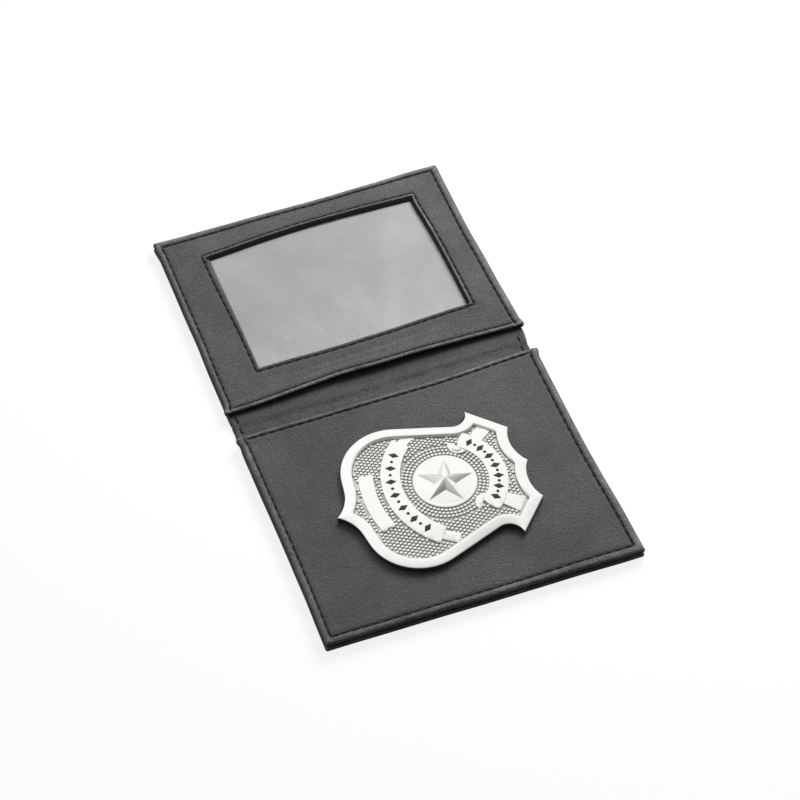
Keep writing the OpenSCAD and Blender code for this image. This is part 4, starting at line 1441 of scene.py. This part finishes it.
def banner_motifs():
    """Lozenges and dots that fill both banners, each an outline."""
    upper_r = (UPPER_BANNER[0] + UPPER_BANNER[1]) / 2
    lower_r = (LOWER_BANNER[1] + LOWER_BANNER[2]) / 2
    length, width = LOZENGE
    lozenge = [(0, -length / 2), (width / 2, 0), (0, length / 2), (-width / 2, 0)]
    dot = arc(0, 0, DOT_R, 0, 2 * math.pi, 13)[:-1]
    outlines = []
    for steps, shape in ((MOTIF_STEPS, lozenge), (DOT_STEPS, dot)):
        for step in steps:
            for turn, radius, centre in ((-step * UPPER_MOTIF_TURN, upper_r, 0.0),
                                         (step * LOWER_MOTIF_TURN, -lower_r, LOWER_BANNER[0])):
                angle = math.radians(turn)
                outlines.append([(u * math.cos(angle) - (v + radius) * math.sin(angle),
                                  centre + u * math.sin(angle) + (v + radius) * math.cos(angle))
                                 for u, v in shape])
    return outlines


def lathe(parts, middle_x, profile, corners):
    """A turned form about a post's axis. profile is radius and height, from the bottom to the top."""
    points = [(x, y, height) for radius, height in profile
              for x, y in arc(middle_x, STAR_Y, radius, 0, 2 * math.pi, corners + 1)[:-1]]
    parts.add(points, tube_faces(len(profile), corners))


class BADGE_WALLET_OT_cover(bpy.types.Operator):
    """Builds the outer cover, in two skins that meet at the spine."""

    bl_idname = "badge_wallet.cover"
    bl_label = "Cover"

    def execute(self, context):
        leather = leather_sizes()
        left, right, end = seam_lines(leather)
        turned_x = HALF_W - leather.turned_edge_w
        xs = grid_lines(-HALF_W, HALF_W, 1.2, (left, right, -turned_x, turned_x),
                        COVER_ROLL, COVER_ROLL, 0.9)
        ts = grid_lines(0, END_T, 1.1, (end, END_T - leather.turned_edge_w), 0, COVER_ROLL, 0.9)
        # The cover's edges are painted lighter, partly as wear and partly as sheen.
        two_skins("cover", cover_leather(), xs, ts, lambda side: cover_top, cover_under, COVER_ROLL,
                  lambda x, t, on_top: 0.5 * hill(edge_gap(x, t), 0.3, 0.9))
        return {"FINISHED"}


def two_skins(layer, material, xs, ts, top, under, roll, rub):
    """The cover or the lining, as a skin for each half that reaches over the spine."""
    corner_r = leather_sizes().corner_r
    for side, name in ((BADGE_SIDE, "badge"), (WINDOW_SIDE, "window")):
        skin = sheet(f"{layer}_{name}_skin", material, xs, ts, top(side), under(side), place_spine(side),
                     side, far_r=corner_r, side_roll=roll, far_roll=roll, masks={"rub": rub})
        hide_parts(f"{layer}_{name}_side", f"{layer}_spine")
        bend_at_spine(skin, side, f"{name}_half")


def bend_at_spine(skin, side, half):
    """Bakes a skin's place into its mesh. The half is not used, and the points either side of the fold are
    worked out and not used.
    """
    inner, outer = (0, side * (FOLD_T - 1.5) * MM, 0), (0, side * (FOLD_T + 1.5) * MM, 0)
    if side == BADGE_SIDE:
        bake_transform(skin)
        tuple(outer)
        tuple(inner)
    else:
        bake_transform(skin)
        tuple(inner)
        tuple(outer)


class BADGE_WALLET_OT_lining(bpy.types.Operator):
    """Builds the lining, in two skins that meet at the spine."""

    bl_idname = "badge_wallet.lining"
    bl_label = "Lining"

    def execute(self, context):
        edge = HALF_W - LINING_INSET
        seams = seam_lines(leather_sizes())[:2]
        xs = grid_lines(-edge, edge, 1.0, seams, LINING_ROLL, LINING_ROLL, 0.9)
        band = grid_lines(0, BAND_END_T, 0.42)
        rest = grid_lines(BAND_END_T, END_T - LINING_INSET, 4.0, (), 0, LINING_ROLL)
        ts = np.concatenate([band, rest[1:]])
        # A painted highlight runs down the middle of the lining band beside the spine.
        two_skins("lining", lining_leather(), xs, ts, lining_top, lambda side: lining_under, LINING_ROLL,
                  lambda x, t, on_top: 0.14 * hill(x, 6, 34) * (1 - smooth(t, 3, 8)))
        return {"FINISHED"}


class BADGE_WALLET_OT_badge_panel(bpy.types.Operator):
    """Builds the leather panel that the shield is fixed to, with holes for its posts."""

    bl_idname = "badge_wallet.badge_panel"
    bl_label = "Badge panel"

    def execute(self, context):
        leather = leather_sizes()
        left, right, end = seam_lines(leather)
        xs = grid_lines(-HALF_W, HALF_W, PANEL_STEP, (left, right), PANEL_ROLL, PANEL_ROLL)
        ts = grid_lines(BADGE_MOUTH_T, END_T, PANEL_STEP, (BADGE_MOUTH_T + leather.mouth_seam_inset, end),
                        MOUTH_ROLL, PANEL_ROLL)
        xs, ts, holes = with_post_holes(xs, ts)
        panel = sheet("badge_panel_leather", panel_leather(), xs, ts, badge_top, badge_under, place_badge,
                      BADGE_SIDE, holes, near_r=leather.mouth_corner_r, far_r=leather.corner_r,
                      side_roll=PANEL_ROLL, near_roll=MOUTH_ROLL, far_roll=PANEL_ROLL,
                      masks=panel_masks(BADGE_MOUTH_T, BADGE_SIDE))
        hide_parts("badge_panel")
        bend_at_spine(panel, BADGE_SIDE, "badge_half")
        return {"FINISHED"}


def with_post_holes(xs, ts):
    """Grid lines that draw the holes which the shield's two posts pass through, and the holes."""
    hole_r = POST_R + 0.15
    for middle in POST_XS:
        xs = with_hole_lines(xs, middle, hole_r)
    holes = [(middle, -STAR_Y, hole_r, hole_r, hole_r) for middle in POST_XS]
    return xs, with_hole_lines(ts, -STAR_Y, hole_r), holes


def with_hole_lines(lines, middle, half):
    """Grid lines with those near a round hole replaced by lines that draw it."""
    shares = np.array([-1, -0.6, -0.2, 0.2, 0.6, 1])
    kept = lines[np.abs(lines - middle) > half + 0.3]
    return np.sort(np.concatenate([kept, middle + half * shares]))


class BADGE_WALLET_OT_backing(bpy.types.Operator):
    """Builds the cloth that is glued behind the badge panel."""

    bl_idname = "badge_wallet.backing"
    bl_label = "Backing cloth"

    def execute(self, context):
        xs = grid_lines(BACKING_LOW[0], BACKING_HIGH[0], BACKING_STEP)
        ts = grid_lines(-BACKING_HIGH[1] + 0.7, -BACKING_LOW[1], BACKING_STEP)
        xs, ts, holes = with_post_holes(xs, ts)
        cloth = sheet("badge_panel_backing_cloth", backing_cloth(), xs, ts,
                      lambda x, t: np.full_like(x, BACKING_HIGH[2]),
                      lambda x, t: BACKING_LOW[2] + 0.05 + 0.04 * soft_noise(x, t, 4, 71),
                      place_badge, BADGE_SIDE, holes)
        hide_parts("badge_panel_backing")
        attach(cloth, "badge_half")
        return {"FINISHED"}


class BADGE_WALLET_OT_window_frame(bpy.types.Operator):
    """Builds the leather frame of the card window."""

    bl_idname = "badge_wallet.window_frame"
    bl_label = "Window frame"

    def execute(self, context):
        leather = leather_sizes()
        window = window_sizes()
        left, right, end = seam_lines(leather)
        window_left, window_right, window_near, window_far = window_seam(window)
        half_w, half_l = window.opening_w / 2, window.opening_l / 2
        middle = END_T - window.from_edge
        xs = grid_lines(-HALF_W, HALF_W, PANEL_STEP, (left, right, window_left, window_right),
                        FRAME_ROLL, FRAME_ROLL)
        ts = grid_lines(WINDOW_MOUTH_T, END_T, PANEL_STEP,
                        (WINDOW_MOUTH_T + leather.mouth_seam_inset, window_near, window_far, end),
                        MOUTH_ROLL, FRAME_ROLL)
        xs = opening_lines(xs, window.opening_x, half_w)
        ts = opening_lines(ts, middle, half_l)
        hole = (window.opening_x, middle, half_w, half_l, window.corner_r)
        panel = sheet("window_frame_leather", panel_leather(), xs, ts, window_top, window_under,
                      place_window, WINDOW_SIDE, (hole,), near_r=leather.mouth_corner_r,
                      far_r=leather.corner_r, side_roll=FRAME_ROLL, near_roll=MOUTH_ROLL,
                      far_roll=FRAME_ROLL, masks=panel_masks(WINDOW_MOUTH_T, WINDOW_SIDE))
        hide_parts("window_frame")
        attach(panel, "window_half")
        return {"FINISHED"}


def opening_lines(lines, middle, half):
    """Grid lines with the lip of the window opening drawn finely."""
    offsets = np.array([0, 0.1, 0.3, 0.55, 0.8, 1.08, 1.2, 1.4, 1.65])
    inside = np.array([-0.35, -0.7, -1.05])
    near = np.concatenate([middle + way * (half + np.concatenate([offsets, inside])) for way in (-1, 1)])
    distance = np.abs(np.abs(lines - middle) - half)
    outside = np.abs(lines - middle) > half
    kept = lines[np.where(outside, distance > 1.8, distance > 1.3)]
    return np.sort(np.concatenate([kept, near]))


class BADGE_WALLET_OT_window_pane(bpy.types.Operator):
    """Builds the clear film sewn behind the window."""

    bl_idname = "badge_wallet.window_pane"
    bl_label = "Window pane"

    def execute(self, context):
        window = window_sizes()
        xs = grid_lines(PANE_LOW[0], PANE_HIGH[0], FILM_STEP)
        ts = grid_lines(PANE_LOW[1], PANE_HIGH[1], FILM_STEP)

        def film_top(x, t):
            inside = smooth(-opening_gap(x, t, window), 0.5, 9)
            wave = 0.5 + 0.5 * soft_noise(x + 0.4 * t, t - 0.3 * x, 17, 81) + 0.3 * soft_noise(x, t, 8, 82)
            return PANE_HIGH[2] - 0.03 + window.film_wave * np.maximum(wave, 0) * inside

        # Painted light: lighter haze towards the near end stands for a reflection, and clearer film at the
        # far middle stands for the far lip's shade.
        def scuff(x, t, on_top):
            return np.clip(1.0 - 0.7 * smooth(t, 28, 52) - 0.4 * hill(x, -2, 30) * smooth(t, 34, 56), 0, 1)

        film = sheet("window_pane_film", clear_film(), xs, ts, film_top,
                     lambda x, t: film_top(x, t) - FILM_T, lambda x, t: (x, t), WINDOW_SIDE,
                     near_r=window.corner_r, far_r=window.corner_r, masks={"scuff": scuff})
        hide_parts("window_pane")
        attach(film, "window_half")
        return {"FINISHED"}


class BADGE_WALLET_OT_threads(bpy.types.Operator):
    """Sews every seam, stitch by stitch."""

    bl_idname = "badge_wallet.threads"
    bl_label = "Threads"

    def execute(self, context):
        leather = leather_sizes()
        window = window_sizes()
        badge_around, badge_across = panel_rows(BADGE_MOUTH_T, leather)
        window_around, window_across = panel_rows(WINDOW_MOUTH_T, leather)
        plans = {
            "badge_side_stitches": ("badge_half", BADGE_SIDE, [
                (badge_around, badge_top, place_badge, 1),
                (cover_seams(leather), cover_under(BADGE_SIDE), place_spine(BADGE_SIDE), -1)]),
            "badge_mouth_stitches": ("badge_half", BADGE_SIDE, [(badge_across, badge_top, place_badge, 1)]),
            "spine_stitches": ("spine", WINDOW_SIDE, [
                (spine_seams(leather), lining_top(WINDOW_SIDE), place_spine(WINDOW_SIDE), 1),
                (spine_seams(leather), cover_under(WINDOW_SIDE), place_spine(WINDOW_SIDE), -1)]),
            "window_side_stitches": ("window_half", WINDOW_SIDE, [
                (window_around, window_top, place_window, 1),
                (beside_spine(leather), lining_top(WINDOW_SIDE), place_spine(WINDOW_SIDE), 1),
                (cover_seams(leather), cover_under(WINDOW_SIDE), place_spine(WINDOW_SIDE), -1)]),
            "window_opening_stitches": ("window_half", WINDOW_SIDE, [
                (window_rows(window), window_top, place_window, 1)]),
            "card_mouth_stitches": ("window_half", WINDOW_SIDE, [
                (window_across, window_top, place_window, 1)]),
        }
        for seed, (node, (body, side, seams)) in enumerate(plans.items(), 100):
            parts = Parts()
            for rows, surface, place, upward in seams:
                add_stitches(parts, rows, surface, place, side, leather, upward, seed)
            thread = add_piece(f"{node}_thread", parts.points, parts.faces, sewing_thread(), sharp=60,
                               weld=0)
            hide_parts(node)
            if body == "badge_half":
                bend_at_spine(thread, BADGE_SIDE, body)
            else:
                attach(thread, body)
        return {"FINISHED"}


class BADGE_WALLET_OT_shield(bpy.types.Operator):
    """Builds the shield: its rim, banners, tails, number panel and beads."""

    bl_idname = "badge_wallet.shield"
    bl_label = "Shield"

    def execute(self, context):
        shield = in_mm(context.scene.wallet_shield)
        parts = Parts()
        width, top, field = shield.rim_w, SHIELD_HIGH[2] - SHIELD_Z, shield.field_h
        steps = [(0.0, 0.0), (0.0, 0.8), (0.0, 1.5), (0.0, 2.1), (0.08, 2.2), (0.3, 2.28), (0.8, 2.38),
                 (1.4, 2.47), (2.0, 2.55), (2.6, top), (width - 0.9, top), (width - 0.55, 2.52),
                 (width - 0.35, 2.34), (width - 0.18, 1.95), (width, field)]
        loops = [[(u, v, height) for u, v in shield_loop(inset)] for inset, height in steps]
        # Painted shade through the recess mask: the outer wall in full, the rim's inner foot in part and the
        # field under the beads mostly.
        values = [1.0, 1.0, 1.0, 1.0] + [0.0] * (len(steps) - 6) + [0.25, 0.4]
        for share in (0.82, 0.64, 0.46, 0.28, 0.1):
            loops.append([(share * u, share * v, field) for u, v, _ in loops[len(steps) - 1]])
            values.append(0.75)
        loft(parts, loops, values=values)
        sunk = field - 0.1
        banners = [turned_anticlockwise(outline) for outline in (
            upper_banner_outline(), lower_banner_outline(), number_panel_outline())]
        for outline in banners:
            pad(parts, outline, sunk, shield.banner_h)
        tails = tail_outlines(shield_loop(width - 0.2))
        for outline in tails:
            pad(parts, outline, sunk, shield.tail_h, 0.1)
        curls = []
        for way in (-1, 1):
            outline = turned_anticlockwise([(way * u, v) for u, v in CURL])
            middle = outline.mean(0)
            outline = middle + (outline - middle) * CURL_GROWTH
            roll = middle + (outline - middle) * CURL_ROLL_SHARE
            pad(parts, outline, sunk, CURL_H, 0.12, (way * CURL_TILT, CURL_TILT))
            pad(parts, roll, field, CURL_ROLL_H, 0.12, (way * CURL_TILT, CURL_TILT))
            curls.append(outline)
        disc = arc(0, 0, DISC_R, 0, 2 * math.pi, 49)[:-1]
        beads = Parts()
        for place in bead_places(shield, [*banners, *tails, *curls, disc], shield_loop(width)):
            add_bead(beads, place, field, shield.bead_r, shield.bead_h)
        for name, made, slice_w in (("shield_casting", parts, 2.5), ("shield_beads", beads, 0.0)):
            piece = add_piece(name, made.points, made.faces, shield_plating(), sharp=38, weld=0,
                              masks={"recess": made.values})
            dome(piece, slice_w)
            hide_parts("shield")
            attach(piece, "badge_half")
        return {"FINISHED"}


class BADGE_WALLET_OT_disc_and_star(bpy.types.Operator):
    """Builds the centre disc and the five-pointed star."""

    bl_idname = "badge_wallet.disc_and_star"
    bl_label = "Disc and star"

    def execute(self, context):
        shield = in_mm(context.scene.wallet_shield)
        low, high = DISC_LOW[2] - SHIELD_Z, DISC_HIGH[2] - SHIELD_Z
        parts = Parts()
        rings = [(0, low), (0, high - 0.25), (0.08, high - 0.08), (0.3, high), (0.9, high),
                 (1.1, high - 0.05), (1.3, high)]
        loft(parts, [[(u, v, height) for u, v in arc(0, 0, DISC_R - inset, 0, 2 * math.pi, 73)[:-1]]
                     for inset, height in rings])
        disc = add_piece("centre_disc_plate", parts.points, parts.faces, shield_plating(), sharp=38)
        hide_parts("centre_disc")

        foot, peak = STAR_LOW[2] - SHIELD_Z, STAR_HIGH[2] - SHIELD_Z
        sunk = foot - 0.05
        points = [(*standing(shield.star_r * (NOTCH_SHARE if i % 2 else 1), 36 * i), height)
                  for height in (sunk, foot + STAR_SKIRT) for i in range(10)]
        points += [(0, 0, peak), (0, 0, sunk)]
        faces = [(i, (i + 1) % 10, 10 + (i + 1) % 10, 10 + i) for i in range(10)]
        faces += [(10 + i, 10 + (i + 1) % 10, 20) for i in range(10)]
        faces += [((i + 1) % 10, i, 21) for i in range(10)]
        star = add_piece("star_casting", on_wallet(points), faces, shield_plating(), sharp=20)
        bevel_ridges(star, 0.1)
        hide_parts("star")
        for piece in (disc, star):
            dome(piece)
            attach(piece, "badge_half")
        return {"FINISHED"}


def bevel_ridges(piece, width):
    """Softens the star's ridges and edges."""
    work = bmesh.new()
    work.from_mesh(piece.data)
    edges = [edge for edge in work.edges if len(edge.link_faces) == 2 and edge.calc_face_angle() > 0.2
             and min(point.co.z for point in edge.verts) > (STAR_LOW[2] + 0.05) * MM]
    bmesh.ops.bevel(work, geom=edges, offset=width * MM, offset_type="OFFSET", segments=2, profile=0.5,
                    affect="EDGES", clamp_overlap=True)
    bmesh.ops.recalc_face_normals(work, faces=work.faces)
    work.to_mesh(piece.data)
    work.free()
    shade(piece.data, 30)


class BADGE_WALLET_OT_enamel(bpy.types.Operator):
    """Fills the banners' lozenges and dots with enamel."""

    bl_idname = "badge_wallet.enamel"
    bl_label = "Enamel"

    def execute(self, context):
        shield = in_mm(context.scene.wallet_shield)
        parts = Parts()
        for outline in banner_motifs():
            pad(parts, turned_anticlockwise(outline), ENAMEL_FOOT - SHIELD_Z,
                shield.banner_h + shield.enamel_proud, 0.05)
        piece = add_piece("banner_enamel_fill", parts.points, parts.faces, hard_enamel(), weld=0)
        dome(piece)
        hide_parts("banner_enamel")
        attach(piece, "badge_half")
        return {"FINISHED"}


class BADGE_WALLET_OT_fixings(bpy.types.Operator):
    """Builds the threaded posts behind the shield and their fluted nuts."""

    bl_idname = "badge_wallet.fixings"
    bl_label = "Posts and nuts"

    def execute(self, context):
        posts, nuts = Parts(), Parts()
        thread_depth, thread_pitch, end = 0.1, 0.2, 0.1
        heights = np.arange(POSTS_LOW[2] + end, POSTS_HIGH[2] - end, thread_pitch / 2)
        for middle in POST_XS:
            profile = [(POST_R - thread_depth * (i % 2), height) for i, height in enumerate(heights)]
            profile = [(POST_R - 0.2, POSTS_LOW[2]), *profile, (POST_R, POSTS_HIGH[2])]
            lathe(posts, middle, profile, 24)
            fluted_nut(nuts, middle, POST_R + 0.05, (NUTS_HIGH[1] - NUTS_LOW[1]) / 2)
        steel = add_piece("shield_posts_threaded", posts.points, posts.faces, post_steel(), weld=0)
        brass = add_piece("post_nuts_fluted", nuts.points, nuts.faces, nut_brass(), weld=0)
        for piece, node, slot in ((steel, "shield_posts", "post_steel"), (brass, "post_nuts", "nut_brass")):
            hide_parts(node)
            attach(piece, "badge_half")
        return {"FINISHED"}


def fluted_nut(parts, middle_x, bore_r, outer_r):
    """A nut: a ring with a fluted rim and softened edges."""
    corners, low, high = 48, NUTS_LOW[2], NUTS_HIGH[2]
    profile = [(bore_r, low, 0), (outer_r - 0.25, low, 0), (outer_r - 0.04, low + 0.14, 1),
               (outer_r - 0.04, high - 0.14, 1), (outer_r - 0.25, high, 0), (bore_r, high, 0)]
    points = []
    for radius, height, fluted in profile:
        for i in range(corners):
            angle = 2 * math.pi * i / corners
            grown = radius + fluted * (0.04 if i % 2 else -0.08)
            points.append((middle_x + grown * math.cos(angle), STAR_Y + grown * math.sin(angle), height))
    faces = tube_faces(len(profile), corners)[:-2]
    last = (len(profile) - 1) * corners
    faces += [(last + i, last + (i + 1) % corners, (i + 1) % corners, i) for i in range(corners)]
    parts.add(points, faces)


class BADGE_WALLET_OT_kept_parts(bpy.types.Operator):
    """Gives the card and the stiffener boards their finish; their CAD shapes stay."""

    bl_idname = "badge_wallet.kept_parts"
    bl_label = "Card and boards"

    def execute(self, context):
        finishes = {"id_card": card_stock(), "board_badge_side": stiff_board(),
                    "board_window_side": stiff_board()}
        for node, material in finishes.items():
            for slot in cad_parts[node].material_slots:
                slot.material = material
        return {"FINISHED"}


class BADGE_WALLET_OT_stage(bpy.types.Operator):
    """Sets up the floor, the light and the camera."""

    bl_idname = "badge_wallet.stage"
    bl_label = "Stage"

    def execute(self, context):
        scene = context.scene
        stage = scene.wallet_stage
        scene.view_settings.view_transform = "Standard"
        self.add_floor(scene, stage)
        self.light_world(scene, stage)
        back = Vector((math.sin(stage.azimuth) * math.cos(stage.elevation),
                       -math.cos(stage.azimuth) * math.cos(stage.elevation), math.sin(stage.elevation)))
        camera = self.look_at_wallet(scene, bpy.data.cameras.new("camera"), back, stage.distance)
        camera.data.lens = stage.lens
        camera.data.sensor_width = 36.0
        camera.data.clip_start = 0.01
        camera.data.clip_end = 50.0
        scene.camera = camera
        above = Vector(stage.lamp_way).normalized()
        light = bpy.data.lights.new("soft_lamp", "AREA")
        lamp = self.look_at_wallet(scene, light, above, stage.lamp_distance)
        lamp.data.shape = "SQUARE"
        lamp.data.size = stage.lamp_size
        lamp.data.energy = stage.lamp_power
        lamp.visible_glossy = False
        return {"FINISHED"}

    def look_at_wallet(self, scene, data, way, distance):
        """A camera or lamp that looks at the wallet from a way and a distance."""
        made = bpy.data.objects.new(data.name, data)
        made.location = Vector(scene.wallet_stage.aim) + way * distance
        made.rotation_euler = way.to_track_quat("Z", "Y").to_euler()
        scene.collection.objects.link(made)
        return made

    def add_floor(self, scene, stage):
        half = 4.0
        corners = [(-half, -half, 0), (half, -half, 0), (half, half, 0), (-half, half, 0)]
        mesh = bpy.data.meshes.new("floor")
        mesh.from_pydata(corners, [], [(0, 1, 2, 3)])
        floor = bpy.data.objects.new("floor", mesh)
        scene.collection.objects.link(floor)
        material = bpy.data.materials.new("floor_white")
        material.use_nodes = True
        tree = material.node_tree
        shader = tree.nodes["Principled BSDF"]
        shader.inputs["Base Color"].default_value = opaque(scene.wallet_colours.floor)
        shader.inputs["Roughness"].default_value = 0.9
        shader.inputs["Specular IOR Level"].default_value = 0.0
        shader.inputs["Emission Color"].default_value = (1, 1, 1, 1)
        path = add_node(tree, "ShaderNodeLightPath")
        glow = maths(tree, "MULTIPLY", path.outputs["Is Camera Ray"], stage.floor_glow)
        tree.links.new(glow, shader.inputs["Emission Strength"])
        mesh.materials.append(material)

    def light_world(self, scene, stage):
        """Soft light from a pale sweep behind the wallet, weaker from the near side, and a white ground."""
        world = bpy.data.worlds.new("studio")
        world.use_nodes = True
        scene.world = world
        tree = world.node_tree
        sky = tree.nodes["Background"]
        sky.inputs["Color"].default_value = (1, 1, 1, 1)
        path = add_node(tree, "ShaderNodeLightPath").outputs
        way = add_node(tree, "ShaderNodeTexCoord").outputs["Generated"]
        depth = add_node(tree, "ShaderNodeSeparateXYZ", {0: way}).outputs["Y"]
        sweep = scaled(tree, depth, -0.6, 0.5, stage.near_share, 1.0)
        gloss = maths(tree, "MULTIPLY", sweep, stage.sweep)
        soft = maths(tree, "MULTIPLY", sweep, stage.sky)
        light = add_node(tree, "ShaderNodeMix", {0: path["Is Glossy Ray"], 2: soft, 3: gloss},
                         data_type="FLOAT").outputs[0]
        seen = maths(tree, "MAXIMUM", path["Is Camera Ray"], path["Is Transmission Ray"])
        strength = add_node(tree, "ShaderNodeMix", {0: seen, 2: light, 3: 1.0}, data_type="FLOAT").outputs[0]
        tree.links.new(strength, sky.inputs["Strength"])


class BADGE_WALLET_PT_panel(bpy.types.Panel):
    """Lists the wallet's sizes, colours and steps."""

    bl_idname = "BADGE_WALLET_PT_panel"
    bl_label = "Badge Wallet"
    bl_space_type = "VIEW_3D"
    bl_region_type = "UI"
    bl_category = "Badge Wallet"

    def draw(self, context):
        scene = context.scene
        for operator in OPERATORS:
            self.layout.operator(operator.bl_idname)
        for group in (getattr(scene, name) for name in GROUPS):
            box = self.layout.box()
            for name in group.bl_rna.properties.keys():
                if name not in {"rna_type", "name"}:
                    box.prop(group, name)


GROUPS = {"wallet_leather": WalletLeather, "wallet_window": WalletWindow, "wallet_shield": WalletShield,
          "wallet_colours": WalletColours, "wallet_stage": WalletStage}
OPERATORS = (BADGE_WALLET_OT_stage, BADGE_WALLET_OT_cover, BADGE_WALLET_OT_lining,
             BADGE_WALLET_OT_badge_panel, BADGE_WALLET_OT_backing, BADGE_WALLET_OT_window_frame,
             BADGE_WALLET_OT_window_pane, BADGE_WALLET_OT_threads, BADGE_WALLET_OT_shield,
             BADGE_WALLET_OT_disc_and_star, BADGE_WALLET_OT_enamel, BADGE_WALLET_OT_fixings,
             BADGE_WALLET_OT_kept_parts)
CLASSES = (*GROUPS.values(), *OPERATORS, BADGE_WALLET_PT_panel)


def register():
    for made in CLASSES:
        bpy.utils.register_class(made)
    for name, group in GROUPS.items():
        setattr(bpy.types.Scene, name, PointerProperty(type=group))


def unregister():
    for name in GROUPS:
        delattr(bpy.types.Scene, name)
    for made in reversed(CLASSES):
        bpy.utils.unregister_class(made)


def main():
    register()
    for operator in OPERATORS:
        family, step = operator.bl_idname.split(".")
        getattr(getattr(bpy.ops, family), step)()


if __name__ == "__main__":
    main()
